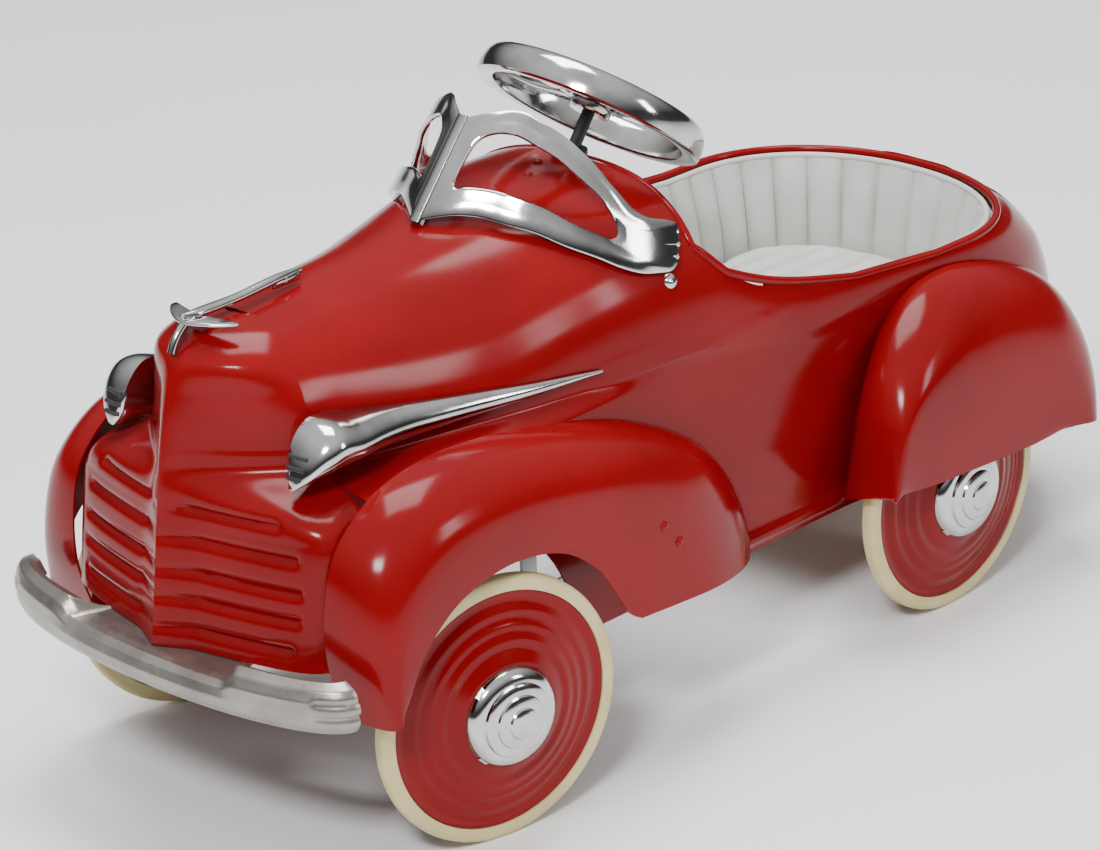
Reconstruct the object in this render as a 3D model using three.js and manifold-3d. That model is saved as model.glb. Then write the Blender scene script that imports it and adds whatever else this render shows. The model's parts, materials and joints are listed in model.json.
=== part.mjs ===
// Pedal car: pressed steel body on an open running gear, with a crank axle driven by two pedals.
// Millimetres, +Z up. The front of the car faces -Y and its left side is at +X.
// Lengths along the car are measured from FRONT_STATION, then the whole group is moved so that
// the origin is the middle of the ground plane under the car.
import * as THREE from "three";
import { mergeVertices } from "three/addons/utils/BufferGeometryUtils.js";
import Module from "manifold-3d";

const wasm = await Module();
wasm.setup();

// ---------------------------------------------------------------- driving dimensions
const CENTRE_STATION = 290.05; // station of the origin
const SHEET = 2; // thickness of the pressed sheet metal
const GAP = 0.3; // air between pieces that touch
const SEAM = 1; // bead of air where a curved stamping meets the body

const TYRE_RADIUS = 101.6; // eight inch wheels
const RIM_RADIUS = 90;
const TYRE_INNER = 163; // x of the tyre's inner wall
const TYRE_OUTER = 175;
const TYRE_SIDES = 24;
const AXLE_Z = TYRE_RADIUS * Math.cos(Math.PI / TYRE_SIDES); // the tyres stand on a flat
const FRONT_AXLE_Y = 6.5;
const REAR_AXLE_Y = 508;
const STEER_REST = THREE.MathUtils.degToRad(-10.2); // front wheels stand turned to the right

const KINGPIN_X = 135;
const ARM_LENGTH = 48; // kingpin to tie rod eye
const TIE_ROD_Z = 96;

const COLUMN_TOP = new THREE.Vector3(0, 295, 438.5); // centre of the steering wheel
const COLUMN_TILT = THREE.MathUtils.degToRad(37.2);
const COLUMN_AXIS = new THREE.Vector3(0, Math.sin(COLUMN_TILT), Math.cos(COLUMN_TILT));
const COLUMN_RADIUS = 5;
const COLUMN_LENGTH = 397.4;
const PITMAN_LENGTH = 26;
const PITMAN_REST = THREE.MathUtils.degToRad(-19.1);
const WHEEL_RING_RADIUS = 90;

const CRANK_THROW = 42;
const CRANK_PLANE = 78; // x of the drive straps
const PEDAL_PLANE = 72; // x of the pedal hangers
const HANGER_TOP = [135, 300]; // station and height of the pedal pivot rod
const HANGER_FOOT = [135, 106];

const ROCKER_Z = 100; // bottom edge of the body
const BODY_START = -66; // station where the nose stamping meets the hood
const TAIL_START = 560; // station where the sides begin to close into the tail
const FENDER_JOINT = 131; // x where the front fenders meet the body
const FRONT_FENDER_FACE = 184; // x of the front fenders' outer faces
const REAR_FENDER_FACE = 203; // the rear fenders stand outside the hubcaps

// ---------------------------------------------------------------- materials
function finish(color, roughness, metalness) {
  return new THREE.MeshStandardMaterial({ color, roughness, metalness });
}
const redEnamel = finish(0xb01c1c, 0.25, 0.1);
const chrome = finish(0xd8d8da, 0.12, 1);
const silverPaint = finish(0xb9bab6, 0.45, 0.6);
const blackSteel = finish(0x1c1c1e, 0.5, 0.6);
const creamRubber = finish(0xe6dcae, 0.7, 0);
const whiteVinyl = finish(0xe9e8e2, 0.55, 0);
const bareSteel = finish(0x8b8c8e, 0.4, 0.9);
const plywood = finish(0xa27a4c, 0.7, 0);

// ---------------------------------------------------------------- solids
const car = new THREE.Group();
car.position.y = -CENTRE_STATION;

function place(name, geometry, material, parent = car) {
  const mesh = new THREE.Mesh(geometry, material);
  mesh.name = name;
  parent.add(mesh);
  return mesh;
}

// Volume inside a list of triangles, negative when they face inwards.
function enclosed(positions, corners) {
  const at = (k) => new THREE.Vector3().fromArray(positions, corners[k] * 3);
  let volume = 0;
  for (let k = 0; k < corners.length; k += 3) volume += at(k).dot(at(k + 1).cross(at(k + 2)));
  return volume;
}

function closedGeometry(points, faces) {
  const flip = enclosed(points.flatMap((point) => point.toArray()), faces.flat()) < 0;
  const order = flip ? faces.map(([a, b, c]) => [a, c, b]) : faces;
  const geometry = new THREE.BufferGeometry();
  geometry.setFromPoints(points);
  geometry.setIndex(order.flat());
  return geometry;
}

function solid(geometry) {
  const bare = geometry.clone();
  bare.deleteAttribute("normal");
  bare.deleteAttribute("uv");
  const merged = mergeVertices(bare, 1e-4);
  const vertProperties = Float32Array.from(merged.attributes.position.array);
  const triVerts = Uint32Array.from(merged.index.array);
  if (enclosed(vertProperties, triVerts) < 0) triVerts.reverse();
  return new wasm.Manifold(new wasm.Mesh({ numProp: 3, vertProperties, triVerts }));
}

function geometryOf(manifold) {
  const mesh = manifold.getMesh();
  const geometry = new THREE.BufferGeometry();
  geometry.setAttribute("position", new THREE.BufferAttribute(mesh.vertProperties, 3));
  geometry.setIndex(new THREE.BufferAttribute(mesh.triVerts, 1));
  return geometry;
}

function union(...geometries) {
  return geometries.map(solid).reduce((all, next) => all.add(next));
}

// A smooth function through a few (position, value) pairs.
function through(pairs) {
  const slope = pairs.map((_, i) => {
    const [x0, v0] = pairs[Math.max(i - 1, 0)];
    const [x1, v1] = pairs[Math.min(i + 1, pairs.length - 1)];
    return (v1 - v0) / (x1 - x0);
  });
  return (x) => {
    const last = pairs.length - 1;
    if (x <= pairs[0][0]) return pairs[0][1];
    if (x >= pairs[last][0]) return pairs[last][1];
    const i = pairs.findIndex(([edge]) => edge > x) - 1;
    const [x0, v0] = pairs[i];
    const [x1, v1] = pairs[i + 1];
    const span = x1 - x0;
    const t = (x - x0) / span;
    const rise = t * t * (3 - 2 * t);
    const bend0 = t * (1 - t) * (1 - t) * span * slope[i];
    const bend1 = t * t * (t - 1) * span * slope[i + 1];
    return v0 + (v1 - v0) * rise + bend0 + bend1;
  };
}

// The part of a stamping between two parallel skins: outer(u, v), and the same moved inwards.
function sheet(outer, columns, rows, thickness) {
  const points = [];
  const step = 1e-3;
  for (const depth of [0, thickness]) {
    for (let i = 0; i <= columns; i++) {
      for (let j = 0; j <= rows; j++) {
        const u = THREE.MathUtils.clamp(i / columns, step, 1 - step);
        const v = THREE.MathUtils.clamp(j / rows, step, 1 - step);
        const along = outer(u + step, v).sub(outer(u - step, v));
        const across = outer(u, v + step).sub(outer(u, v - step));
        const normal = along.cross(across).normalize();
        points.push(outer(i / columns, j / rows).addScaledVector(normal, -depth));
      }
    }
  }
  return closedGeometry(points, skinFaces(columns, rows));
}

// Two skins with the same grid, stitched along their four edges.
function skinFaces(columns, rows) {
  const faces = [];
  const wide = rows + 1;
  const layer = (columns + 1) * wide;
  const quad = (a, b, c, d) => faces.push([a, b, c], [a, c, d]);
  for (let i = 0; i < columns; i++) {
    for (let j = 0; j < rows; j++) {
      const a = i * wide + j;
      quad(a, a + wide, a + wide + 1, a + 1);
      quad(layer + a, layer + a + 1, layer + a + wide + 1, layer + a + wide);
    }
  }
  for (let i = 0; i < columns; i++) {
    const low = i * wide;
    const high = low + rows;
    quad(low + wide, low, low + layer, low + wide + layer);
    quad(high, high + wide, high + wide + layer, high + layer);
  }
  for (let j = 0; j < rows; j++) {
    const far = columns * wide + j;
    quad(j, j + 1, j + 1 + layer, j + layer);
    quad(far + 1, far, far + layer, far + 1 + layer);
  }
  return faces;
}

// Closed rings with equal counts, joined in order, with a fan over each end.
function loft(rings) {
  const count = rings[0].length;
  const points = rings.flat();
  const faces = [];
  for (let i = 0; i + 1 < rings.length; i++) {
    for (let j = 0; j < count; j++) {
      const a = i * count + j;
      const b = i * count + ((j + 1) % count);
      faces.push([a, b, b + count], [a, b + count, a + count]);
    }
  }
  for (const [ring, start] of [[rings[0], 0], [rings.at(-1), (rings.length - 1) * count]]) {
    const middle = new THREE.Vector3();
    ring.forEach((point) => middle.addScaledVector(point, 1 / count));
    points.push(middle);
    for (let j = 0; j < count; j++) {
      const fan = [points.length - 1, start + ((j + 1) % count), start + j];
      faces.push(start === 0 ? fan : [fan[0], fan[2], fan[1]]);
    }
  }
  return closedGeometry(points, faces);
}

function box(width, depth, height, x, y, z) {
  return new THREE.BoxGeometry(width, depth, height).translate(x, y, z);
}

// A round bar from one point to another.
function bar(from, to, radius, sides = 12) {
  const axis = to.clone().sub(from);
  const geometry = new THREE.CylinderGeometry(radius, radius, axis.length(), sides);
  const turn = new THREE.Quaternion().setFromUnitVectors(
    new THREE.Vector3(0, 1, 0),
    axis.clone().normalize(),
  );
  geometry.applyQuaternion(turn);
  return geometry.translate(...from.clone().add(to).multiplyScalar(0.5).toArray());
}

function cylinderX(radius, x0, x1, y, z, sides = 24) {
  return bar(new THREE.Vector3(x0, y, z), new THREE.Vector3(x1, y, z), radius, sides);
}

function cylinderZ(radius, z0, z1, x, y, sides = 16) {
  return bar(new THREE.Vector3(x, y, z0), new THREE.Vector3(x, y, z1), radius, sides);
}

// A bent rod through a list of points, with a ball at each bend.
function bentRod(points, radius, sides = 10) {
  const pieces = [];
  for (let i = 0; i + 1 < points.length; i++) {
    pieces.push(bar(points[i], points[i + 1], radius, sides));
  }
  for (const corner of points.slice(1, -1)) {
    const ball = new THREE.SphereGeometry(radius * 1.04, 8, 6);
    pieces.push(ball.translate(corner.x, corner.y, corner.z));
  }
  return union(...pieces);
}

// A ring of (radius, x) profile points turned about the X axis.
function turned(profile, segments) {
  const outline = profile.map(([radius, x]) => new THREE.Vector2(radius, x));
  if (profile[0][0] > 0) outline.push(outline[0].clone());
  const lathe = new THREE.LatheGeometry(outline, segments);
  lathe.rotateZ(-Math.PI / 2).rotateX(Math.PI / segments);
  return geometryOf(solid(lathe));
}

// ---------------------------------------------------------------- body surface
const roofPower = through([[-72, 2.4], [-20, 2.1], [60, 1.95], [120, 2.1], [190, 2.4], [272, 2.5]]);
const roofHeight = through([
  [-66, 381], [-20, 384], [50, 388], [104, 394], [150, 401], [190, 405], [260, 404], [283, 399],
  [340, 355], [418, 338], [478, 330], [560, 317], [640, 315],
]);
const shoulderHeight = through([[280, 285], [380, 270]]);
const hoodHalf = through([
  [-72, 80], [-20, 92], [50, 106], [100, 116], [150, 123], [195, 130], [272, 137.5],
  [340, 141.5], [418, 146], [478, 147.5], [560, 149],
]);
const sideHalf = through([[150, 131], [250, 134], [350, 141], [450, 146], [560, 149]]);
const rockerHalf = through([[430, 132], [560, 143], [640, 148]]);
const tailEnd = through([
  [150, 768], [195, 762], [224, 750], [250, 731], [275, 703], [284, 684], [300, 672], [315, 642],
]);
const tailPower = through([[240, 2.4], [284, 2.1]]);
const SHOULDER_DROP = 15; // height over which the hood spreads to the width of the sides

function tailFactor(y, z) {
  if (y <= TAIL_START) return 1;
  const reach = (y - TAIL_START) / (tailEnd(z) - TAIL_START);
  const power = tailPower(z);
  return Math.max(0, 1 - reach ** power) ** (1 / power);
}

// Half the width of the body at a station and a height.
function bodyHalf(y, z) {
  const shoulder = shoulderHeight(y);
  const top = roofHeight(y);
  const narrow = hoodHalf(y);
  const wide = sideHalf(y);
  if (z >= shoulder) {
    const rise = Math.min(1, (z - shoulder) / (top - shoulder));
    const power = roofPower(y);
    return narrow * (1 - rise ** power) ** (1 / power) * tailFactor(y, z);
  }
  const drop = shoulder - z;
  if (drop < SHOULDER_DROP) {
    const blend = THREE.MathUtils.smoothstep(drop, 0, SHOULDER_DROP);
    return THREE.MathUtils.lerp(narrow, wide, blend) * tailFactor(y, z);
  }
  const fall = (drop - SHOULDER_DROP) / (shoulder - SHOULDER_DROP - ROCKER_Z);
  const flare = Math.min(1, Math.max(0, fall)) ** 1.4;
  return THREE.MathUtils.lerp(wide, rockerHalf(y), flare) * tailFactor(y, z);
}

// Height of the body's top at a station, found on the tail by halving.
function topHeight(y) {
  const tailTop = 315;
  if (y <= tailEnd(tailTop)) return roofHeight(y);
  let low = ROCKER_Z;
  let high = tailTop;
  for (let i = 0; i < 30; i++) {
    const middle = (low + high) / 2;
    if (tailEnd(middle) > y) low = middle;
    else high = middle;
  }
  return low;
}

// Station of the seam between the nose stamping and the hood at a height.
const seamStation = through([
  [262, -72], [300, -76], [347, -76], [381, -66],
]);

const LOWER_STEPS = 7;
const UPPER_STEPS = 7;
const RING_STEPS = LOWER_STEPS + UPPER_STEPS;

// Heights of a ring's points: the flare and the shoulder below, the round of the roof above.
function ringLevels(y, top) {
  const shoulder = shoulderHeight(y);
  const full = Math.max(top, shoulder + 25);
  const levels = [ROCKER_Z, 145, 190, 232, shoulder - 15, shoulder - 9, shoulder - 4];
  for (let k = 0; k <= UPPER_STEPS; k++) {
    levels.push(shoulder + (full - shoulder) * Math.sin((k / UPPER_STEPS) * Math.PI / 2));
  }
  return levels.map((z) => ROCKER_Z + (z - ROCKER_Z) * (top - ROCKER_Z) / (full - ROCKER_Z));
}

function bodyRing(y, inset, lean) {
  const top = topHeight(y + (y > TAIL_START ? inset : 0));
  const half = ringLevels(y, top).map((z, k) => {
    const shift = lean * (seamStation(z) - BODY_START);
    const where = y + (y > TAIL_START ? inset : 0) + shift;
    return [k === RING_STEPS ? 0 : bodyHalf(where, z), z, y + shift];
  });
  const moved = half.map(([x, z, station], k) => {
    const [xa, za] = half[Math.max(k - 1, 0)];
    const [xb, zb] = half[Math.min(k + 1, RING_STEPS)];
    const length = Math.hypot(xb - xa, zb - za) || 1;
    const across = k === RING_STEPS ? 0 : (zb - za) / length;
    const up = k === RING_STEPS ? 1 : -(xb - xa) / length;
    const bottom = k === 0 && inset > 0 ? ROCKER_Z - 20 : z - inset * up;
    return [Math.max(x - inset * across, 0), bottom, station];
  });
  const left = moved.map(([x, z, station]) => new THREE.Vector3(x, station, z));
  const right = moved.slice(0, -1).reverse().map(([x, z, station]) => {
    return new THREE.Vector3(-x, station, z);
  });
  return [...left, ...right];
}

function bodyRings(inset) {
  const leans = inset > 0 ? [[-86, 1]] : [];
  leans.push([-66, 1], [-35, 0.5]);
  const rings = leans.map(([y, lean]) => bodyRing(y, inset, lean));
  for (const y of [10, 50, 100, 150, 195, 235, 270, 300, 320, 340, 380, 430, 490, 560]) {
    rings.push(bodyRing(y, inset, 0));
  }
  const tailSteps = 9;
  const tailLength = 768 - TAIL_START - inset;
  for (let k = 1; k <= tailSteps; k++) {
    const reach = Math.sin((k / tailSteps) * Math.PI / 2 * 0.96);
    rings.push(bodyRing(TAIL_START + reach * tailLength, inset, 0));
  }
  return rings;
}

// Outline of the cockpit in plan, a few millimetres inside the body's shoulder.
function cockpitOutline(margin, front) {
  const outline = new THREE.Shape();
  const rimZ = 284;
  const steps = 14;
  const left = [];
  for (const y of [front, 340, 380, 420, 470, 520]) {
    if (y >= front) left.push([bodyHalf(y, 300 - Math.min(16, (y - 330) / 12)) - margin, y]);
  }
  for (let k = 0; k <= steps; k++) {
    const angle = (k / steps) * Math.PI / 2;
    const reach = tailEnd(rimZ) - TAIL_START - margin;
    const x = (bodyHalf(TAIL_START, rimZ) - margin) * Math.cos(angle) ** 0.95;
    left.push([x, TAIL_START + reach * Math.sin(angle) ** 0.95]);
  }
  left.forEach(([x, y], i) => (i ? outline.lineTo(x, y) : outline.moveTo(x, y)));
  left.slice(0, -1).reverse().forEach(([x, y]) => outline.lineTo(-x, y));
  return outline;
}

function buildBodyShell() {
  const outer = solid(loft(bodyRings(0)));
  const inner = solid(loft(bodyRings(SHEET)));
  const dash = new THREE.Shape();
  dash.moveTo(0, 283);
  dash.quadraticCurveTo(70, 280, 118, 271);
  dash.quadraticCurveTo(133, 290, 134, 334);
  dash.lineTo(-134, 334);
  dash.quadraticCurveTo(-133, 290, -118, 271);
  dash.quadraticCurveTo(-70, 280, 0, 283);
  const upward = { depth: 250, bevelEnabled: false, curveSegments: 6 };
  const cockpit = new THREE.ExtrudeGeometry(cockpitOutline(2.5, 333), upward);
  const opening = solid(cockpit.translate(0, 0, 240)).add(
    solid(new THREE.ExtrudeGeometry(dash, upward).translate(0, 0, 240)),
  );
  const frontWell = cylinderX(116, -160, 160, FRONT_AXLE_Y, AXLE_Z, 36);
  const axleNotch = cylinderX(15, -170, 170, REAR_AXLE_Y, AXLE_Z, 16);
  const columnHole = bar(
    COLUMN_TOP.clone().addScaledVector(COLUMN_AXIS, -90),
    COLUMN_TOP.clone().addScaledVector(COLUMN_AXIS, -10),
    COLUMN_RADIUS + 2,
    16,
  );
  return outer
    .subtract(inner)
    .subtract(opening)
    .subtract(solid(frontWell))
    .subtract(solid(axleNotch))
    .subtract(solid(columnHole));
}
place("body_shell", geometryOf(buildBodyShell()), redEnamel);

// ---------------------------------------------------------------- nose stamping
const NOSE_BOTTOM = 161;
const NOSE_TOP = 381;
const prowStation = through([
  [161, -167], [198, -161.5], [263, -152.6], [322, -142], [350, -134], [364, -127],
  [374, -112], [380, -92], [381, -76],
]);
const noseHalf = through([[248, 131], [264, 122], [280, 92], [290, 82.5], [300, 81]]);
const nosePower = through([[200, 5], [248, 4], [280, 1.4], [296, 1.15], [340, 1.25], [362, 1.8]]);
const faceSlope = through([[250, 0.2], [300, 0]]);
const prowProud = through([[262, 8], [320, 3]]);
const PROW_WIDTH = 13;

// v runs up the nose, u runs from the left seam round the prow to the right seam.
function noseSkin(u, v) {
  const z = NOSE_BOTTOM + (NOSE_TOP - NOSE_BOTTOM) * Math.sin(v * Math.PI / 2);
  const seamY = seamStation(z) - SEAM;
  const seamX = z > 300 ? bodyHalf(seamY, Math.min(z, 380.5)) : noseHalf(z);
  const angle = Math.abs(1 - 2 * u) * Math.PI / 2;
  const side = u < 0.5 ? 1 : -1;
  const power = 2 / nosePower(z);
  const x = seamX * Math.sin(angle) ** power;
  const reach = Math.cos(angle) ** power;
  const prow = Math.min(prowStation(z), seamY - 6);
  const flat = prow + (prowProud(z) + faceSlope(z) * x) * reach;
  const ridge = prowProud(z) * Math.exp(-((x / PROW_WIDTH) ** 2)) * reach;
  return new THREE.Vector3(side * x, seamY + (flat - seamY) * reach - ridge, z);
}
place("nose_grille", sheet(noseSkin, 26, 13, SHEET), redEnamel);

// ---------------------------------------------------------------- fenders
// Each outline is a list of (station, height) points from the front bottom corner over the
// crown to the rear bottom corner: where the fender meets the body, and its lip over the wheel.
function outlineCurve(points) {
  const curve = new THREE.CatmullRomCurve3(
    points.map(([y, z]) => new THREE.Vector3(0, y, z)),
    false,
    "centripetal",
  );
  return (t) => curve.getPointAt(THREE.MathUtils.clamp(t, 0, 1));
}

// The front wall of a fender can stand forward of its joint to clear the tyre. Its round shoulder
// reaches a share of the way from the joint to the lip: tight over the wall, spread behind it.
function fenderSkin(joint, lip, jointX, [faceX, lipX], wallForward, tight, spread, side) {
  const jointAt = outlineCurve(joint);
  const lipAt = outlineCurve(lip);
  const shoulder = 0.62; // share of the rows spent on the round shoulder
  return (u, v) => {
    const start = jointAt(u);
    const end = lipAt(u);
    const round = Math.min(v / shoulder, 1) * Math.PI / 2;
    const rest = Math.max(0, (v - shoulder) / (1 - shoulder));
    const reach = THREE.MathUtils.lerp(tight, spread, THREE.MathUtils.smoothstep(u, 0.15, 0.45));
    const across = reach * (1 - Math.cos(round)) + (1 - reach) * rest;
    const base = jointX(start.y, start.z);
    const bulge = Math.sin(round);
    const face = THREE.MathUtils.lerp(faceX, lipX, rest * rest);
    const x = THREE.MathUtils.lerp(base, face, bulge);
    const middle = start.lerp(end, across);
    const wall = 1 - THREE.MathUtils.smoothstep(u, 0.16, 0.4);
    const forward = wallForward * wall * (1 - (1 - bulge) ** 6) * (1 - across);
    const foot = wallForward > 0 ? bulge * (1 - THREE.MathUtils.smoothstep(u, 0, 0.08)) : 0;
    const z = THREE.MathUtils.lerp(middle.z, lipAt(u).z, foot * (1 - across));
    return new THREE.Vector3(side * x, middle.y - forward, z);
  };
}

const frontJoint = [
  [-108, 124], [-122, 168], [-122, 210], [-110, 248], [-74, 277], [-25, 288], [30, 286],
  [93, 275], [155, 259], [208, 238], [250, 212], [279, 174], [292, 140], [294, 117],
];
const frontLip = [
  [-106, 136], [-98, 150], [-78, 181], [-42, 206], [6.5, 215], [55, 206], [91, 181],
  [112, 152], [124, 134], [136, 126],
];
const rearJoint = [
  [426, 115], [430, 150], [438, 200], [452, 240], [482, 265], [520, 272], [560, 267],
  [610, 251], [650, 228], [676, 194], [686, 152], [682, 112],
];
const rearLip = [[403, 137], [448, 130], [494, 127], [529, 125], [575, 123], [612, 125]];

const REAR_WALL = 28;
const FENDER_COLUMNS = 20;
const FENDER_ROWS = 6;
for (const [name, side] of [["left", 1], ["right", -1]]) {
  const frontX = (y, z) => Math.max(bodyHalf(y, z), FENDER_JOINT) + SEAM;
  const frontFaces = [FRONT_FENDER_FACE, FRONT_FENDER_FACE - 1];
  const front = fenderSkin(frontJoint, frontLip, frontX, frontFaces, 0, 0.6, 0.6, side);
  const frontSheet = sheet(front, FENDER_COLUMNS, FENDER_ROWS, side * SHEET);
  place(`front_fender_${name}`, frontSheet, redEnamel);
  const rearX = (y, z) => {
    return bodyHalf(y, z) + SEAM + 3 * (1 - THREE.MathUtils.smoothstep(y, 430, 456));
  };
  const rearFaces = [REAR_FENDER_FACE, REAR_FENDER_FACE - 2];
  const rear = fenderSkin(rearJoint, rearLip, rearX, rearFaces, REAR_WALL, 0.25, 0.5, side);
  const rearSheet = sheet(rear, FENDER_COLUMNS, FENDER_ROWS, side * SHEET);
  place(`rear_fender_${name}`, rearSheet, redEnamel);
}

// ---------------------------------------------------------------- front bumper
// One pressing: a wrap-around face band with a pan that runs back under the nose.
const BUMPER_HALF = 177;
const BUMPER_END = -138;
const BUMPER_FRONT = -186;
const PAN_REAR = -128;
// Sections from the lower lip upwards: inset from the face line, height, share of the way back
// to the pan's rear edge. The middle carries the pan, the two ends roll over into horns.
const PAN_HEIGHT = 160.5;
const bumperMiddle = [
  [3, 138, 0], [0, 143, 0], [-1.5, 150, 0], [1, 157, 0], [7, 160, 0], [14, PAN_HEIGHT, 0],
  [14, PAN_HEIGHT, 0.5], [14, PAN_HEIGHT, 1],
];
const bumperHorn = [
  [3, 138, 0], [0, 143, 0], [-2, 152, 0], [-1, 162, 0], [4, 169, 0], [12, 173, 0],
  [20, 170, 0], [27, 161, 0],
];
const HORN_START = 82;
const HORN_FULL = 96;
const PAN_HALF = 132; // the pan stays below the nose stamping inside this width
const PAN_FRONT = -152;

function bumperSkin(u, v) {
  const row = v * (bumperMiddle.length - 1);
  const index = Math.min(Math.floor(row), bumperMiddle.length - 2);
  const angle = (1 - 2 * u) * Math.PI / 2;
  const horn = THREE.MathUtils.smoothstep(
    BUMPER_HALF * Math.abs(Math.sin(angle)),
    HORN_START,
    HORN_FULL,
  );
  const [inset, z, back] = [0, 1, 2].map((axis) => {
    const [middle, end] = [bumperMiddle, bumperHorn].map((section) => {
      return THREE.MathUtils.lerp(section[index][axis], section[index + 1][axis], row - index);
    });
    return THREE.MathUtils.lerp(middle, end, horn);
  });
  const x = (BUMPER_HALF - inset) * Math.sin(angle);
  const y = BUMPER_END + (BUMPER_FRONT - BUMPER_END + inset) * Math.cos(angle);
  return new THREE.Vector3(
    THREE.MathUtils.lerp(x, x * 0.8, back),
    THREE.MathUtils.lerp(y, PAN_REAR, back),
    z,
  );
}
const noseRoom = box(2 * PAN_HALF, 40, 40, 0, PAN_FRONT + 21, PAN_HEIGHT + 0.2 + 20);
const bumper = solid(sheet(bumperSkin, 26, 7, -SHEET)).subtract(solid(noseRoom));
place("front_bumper", geometryOf(bumper), silverPaint);

// ---------------------------------------------------------------- bright trim
const trimLow = through([[-113, 285.5], [-100, 289], [-70, 291], [0, 292], [80, 293], [162, 294.5]]);
const trimHigh = through([[-113, 291], [-108, 305], [-98, 321], [-84, 329], [-57, 324], [0, 315],
  [80, 305.5], [162, 297]]);
const trimInner = through([[-113, 90], [-106, 84], [-95, 82.5], [-80, 81.5]]);
const trimBulge = through([[-60, 34], [-30, 20], [0, 11.5], [80, 5.5], [162, 2.5]]);
const podOuter = through([[-113, 97], [-108, 106], [-100, 113], [-88, 118], [-60, 117.5]]);

function trimRing(y, side) {
  const low = trimLow(y);
  const high = trimHigh(y);
  const ring = [];
  const inner = (z) => SEAM + (y < -75 ? Math.max(trimInner(y), noseHalf(z) + 2) : bodyHalf(y, z));
  const middle = (low + high) / 2;
  const proud = y < -60 ? podOuter(y) - inner(middle) : trimBulge(y);
  const steps = 8;
  for (let k = 0; k <= steps; k++) {
    const angle = (k / steps) * Math.PI;
    const z = middle - Math.cos(angle) * (high - low) / 2;
    ring.push(new THREE.Vector3(side * (inner(z) + 0.8 + proud * Math.sin(angle) ** 0.8), y, z));
  }
  for (const share of [0.75, 0.5, 0.25]) {
    const z = THREE.MathUtils.lerp(low, high, share);
    ring.push(new THREE.Vector3(side * inner(z), y, z));
  }
  return ring;
}
for (const [name, side] of [["left", 1], ["right", -1]]) {
  const stations = [-113, -110, -105, -97, -84, -75.5, -66, -45, -15, 20, 60, 100, 135, 162];
  const rings = stations.map((y) => trimRing(y, side));
  place(`headlight_trim_${name}`, loft(rings), chrome);
}

function buildOrnament() {
  const spear = loft([[-119, 2, 392], [-105, 4.5, 390], [-70, 4, 390.5], [-30, 3.5, 394],
    [-8, 3, 395]].map(([y, half, z]) => {
    return [[half, z - 2.5], [half, z + 1], [0, z + 4], [-half, z + 1], [-half, z - 2.5]]
      .map(([x, height]) => new THREE.Vector3(x, y, height));
  }));
  const wings = new THREE.Shape([[-32, -97], [-30, -106], [0, -121], [30, -106], [32, -97],
    [0, -103]].map(([x, y]) => new THREE.Vector2(x, y)));
  const wing = new THREE.ExtrudeGeometry(wings, { depth: 2.6, bevelEnabled: false });
  const frontFoot = bentRod([
    new THREE.Vector3(0, -112, 391),
    new THREE.Vector3(0, -122, 382),
    new THREE.Vector3(0, -131.5, 370),
  ], 3, 8);
  const tailFoot = box(7, 26, 9, 0, -22, 391.5);
  return union(spear, wing.translate(0, 0, 387), tailFoot).add(frontFoot);
}
place("hood_ornament", geometryOf(buildOrnament()), chrome);

// ---------------------------------------------------------------- windshield
// The two panes are one casting that stands on the cowl: u runs along its foot, h up its face.
const screenFoot = new THREE.CatmullRomCurve3([
  [0, 105, 397.5], [24, 120, 400], [42, 133, 398], [59, 142, 393.5], [74, 153, 388],
  [91, 166, 378], [105.5, 182.5, 368], [115, 196, 359], [122.5, 211, 352], [126, 229, 348],
  [128.5, 241, 345],
].map((point) => new THREE.Vector3(...point)));
const CENTRE_LEAN = new THREE.Vector3(0, 0.6414, 0.7674);
const SIDE_LEAN = new THREE.Vector3(-0.3, 0.47, 0.83);
const SCREEN_THICKNESS = 3;
const screenOutline = [
  [0, 0], [0.14, 3], [0.3, 3], [0.45, 3], [0.6, 3], [0.75, 3], [0.88, 3], [0.97, 4], [1, 10],
  [1, 24], [0.985, 40], [0.92, 43], [0.8, 46], [0.74, 51], [0.66, 59], [0.56, 70], [0.45, 77],
  [0.35, 82], [0.24, 86.5], [0.12, 85], [0, 83], [0, 42],
];
const screenOpening = [
  [0.095, 26], [0.15, 25.5], [0.24, 25], [0.35, 24], [0.46, 22.5], [0.56, 21], [0.64, 20],
  [0.7, 20], [0.722, 23], [0.727, 26], [0.72, 30], [0.71, 33], [0.695, 36], [0.67, 40],
  [0.63, 46], [0.53, 54], [0.43, 60], [0.33, 65], [0.24, 68], [0.16, 67], [0.11, 61], [0.092, 44],
];

function screenPoint(u, h, depth, side) {
  const foot = screenFoot.getPointAt(u);
  const tangent = screenFoot.getTangentAt(u);
  const lean = CENTRE_LEAN.clone().lerp(SIDE_LEAN, u).normalize();
  const facing = tangent.cross(lean).normalize();
  const point = foot.addScaledVector(lean, h).addScaledVector(facing, depth);
  return new THREE.Vector3(side * point.x, point.y, point.z);
}

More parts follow.
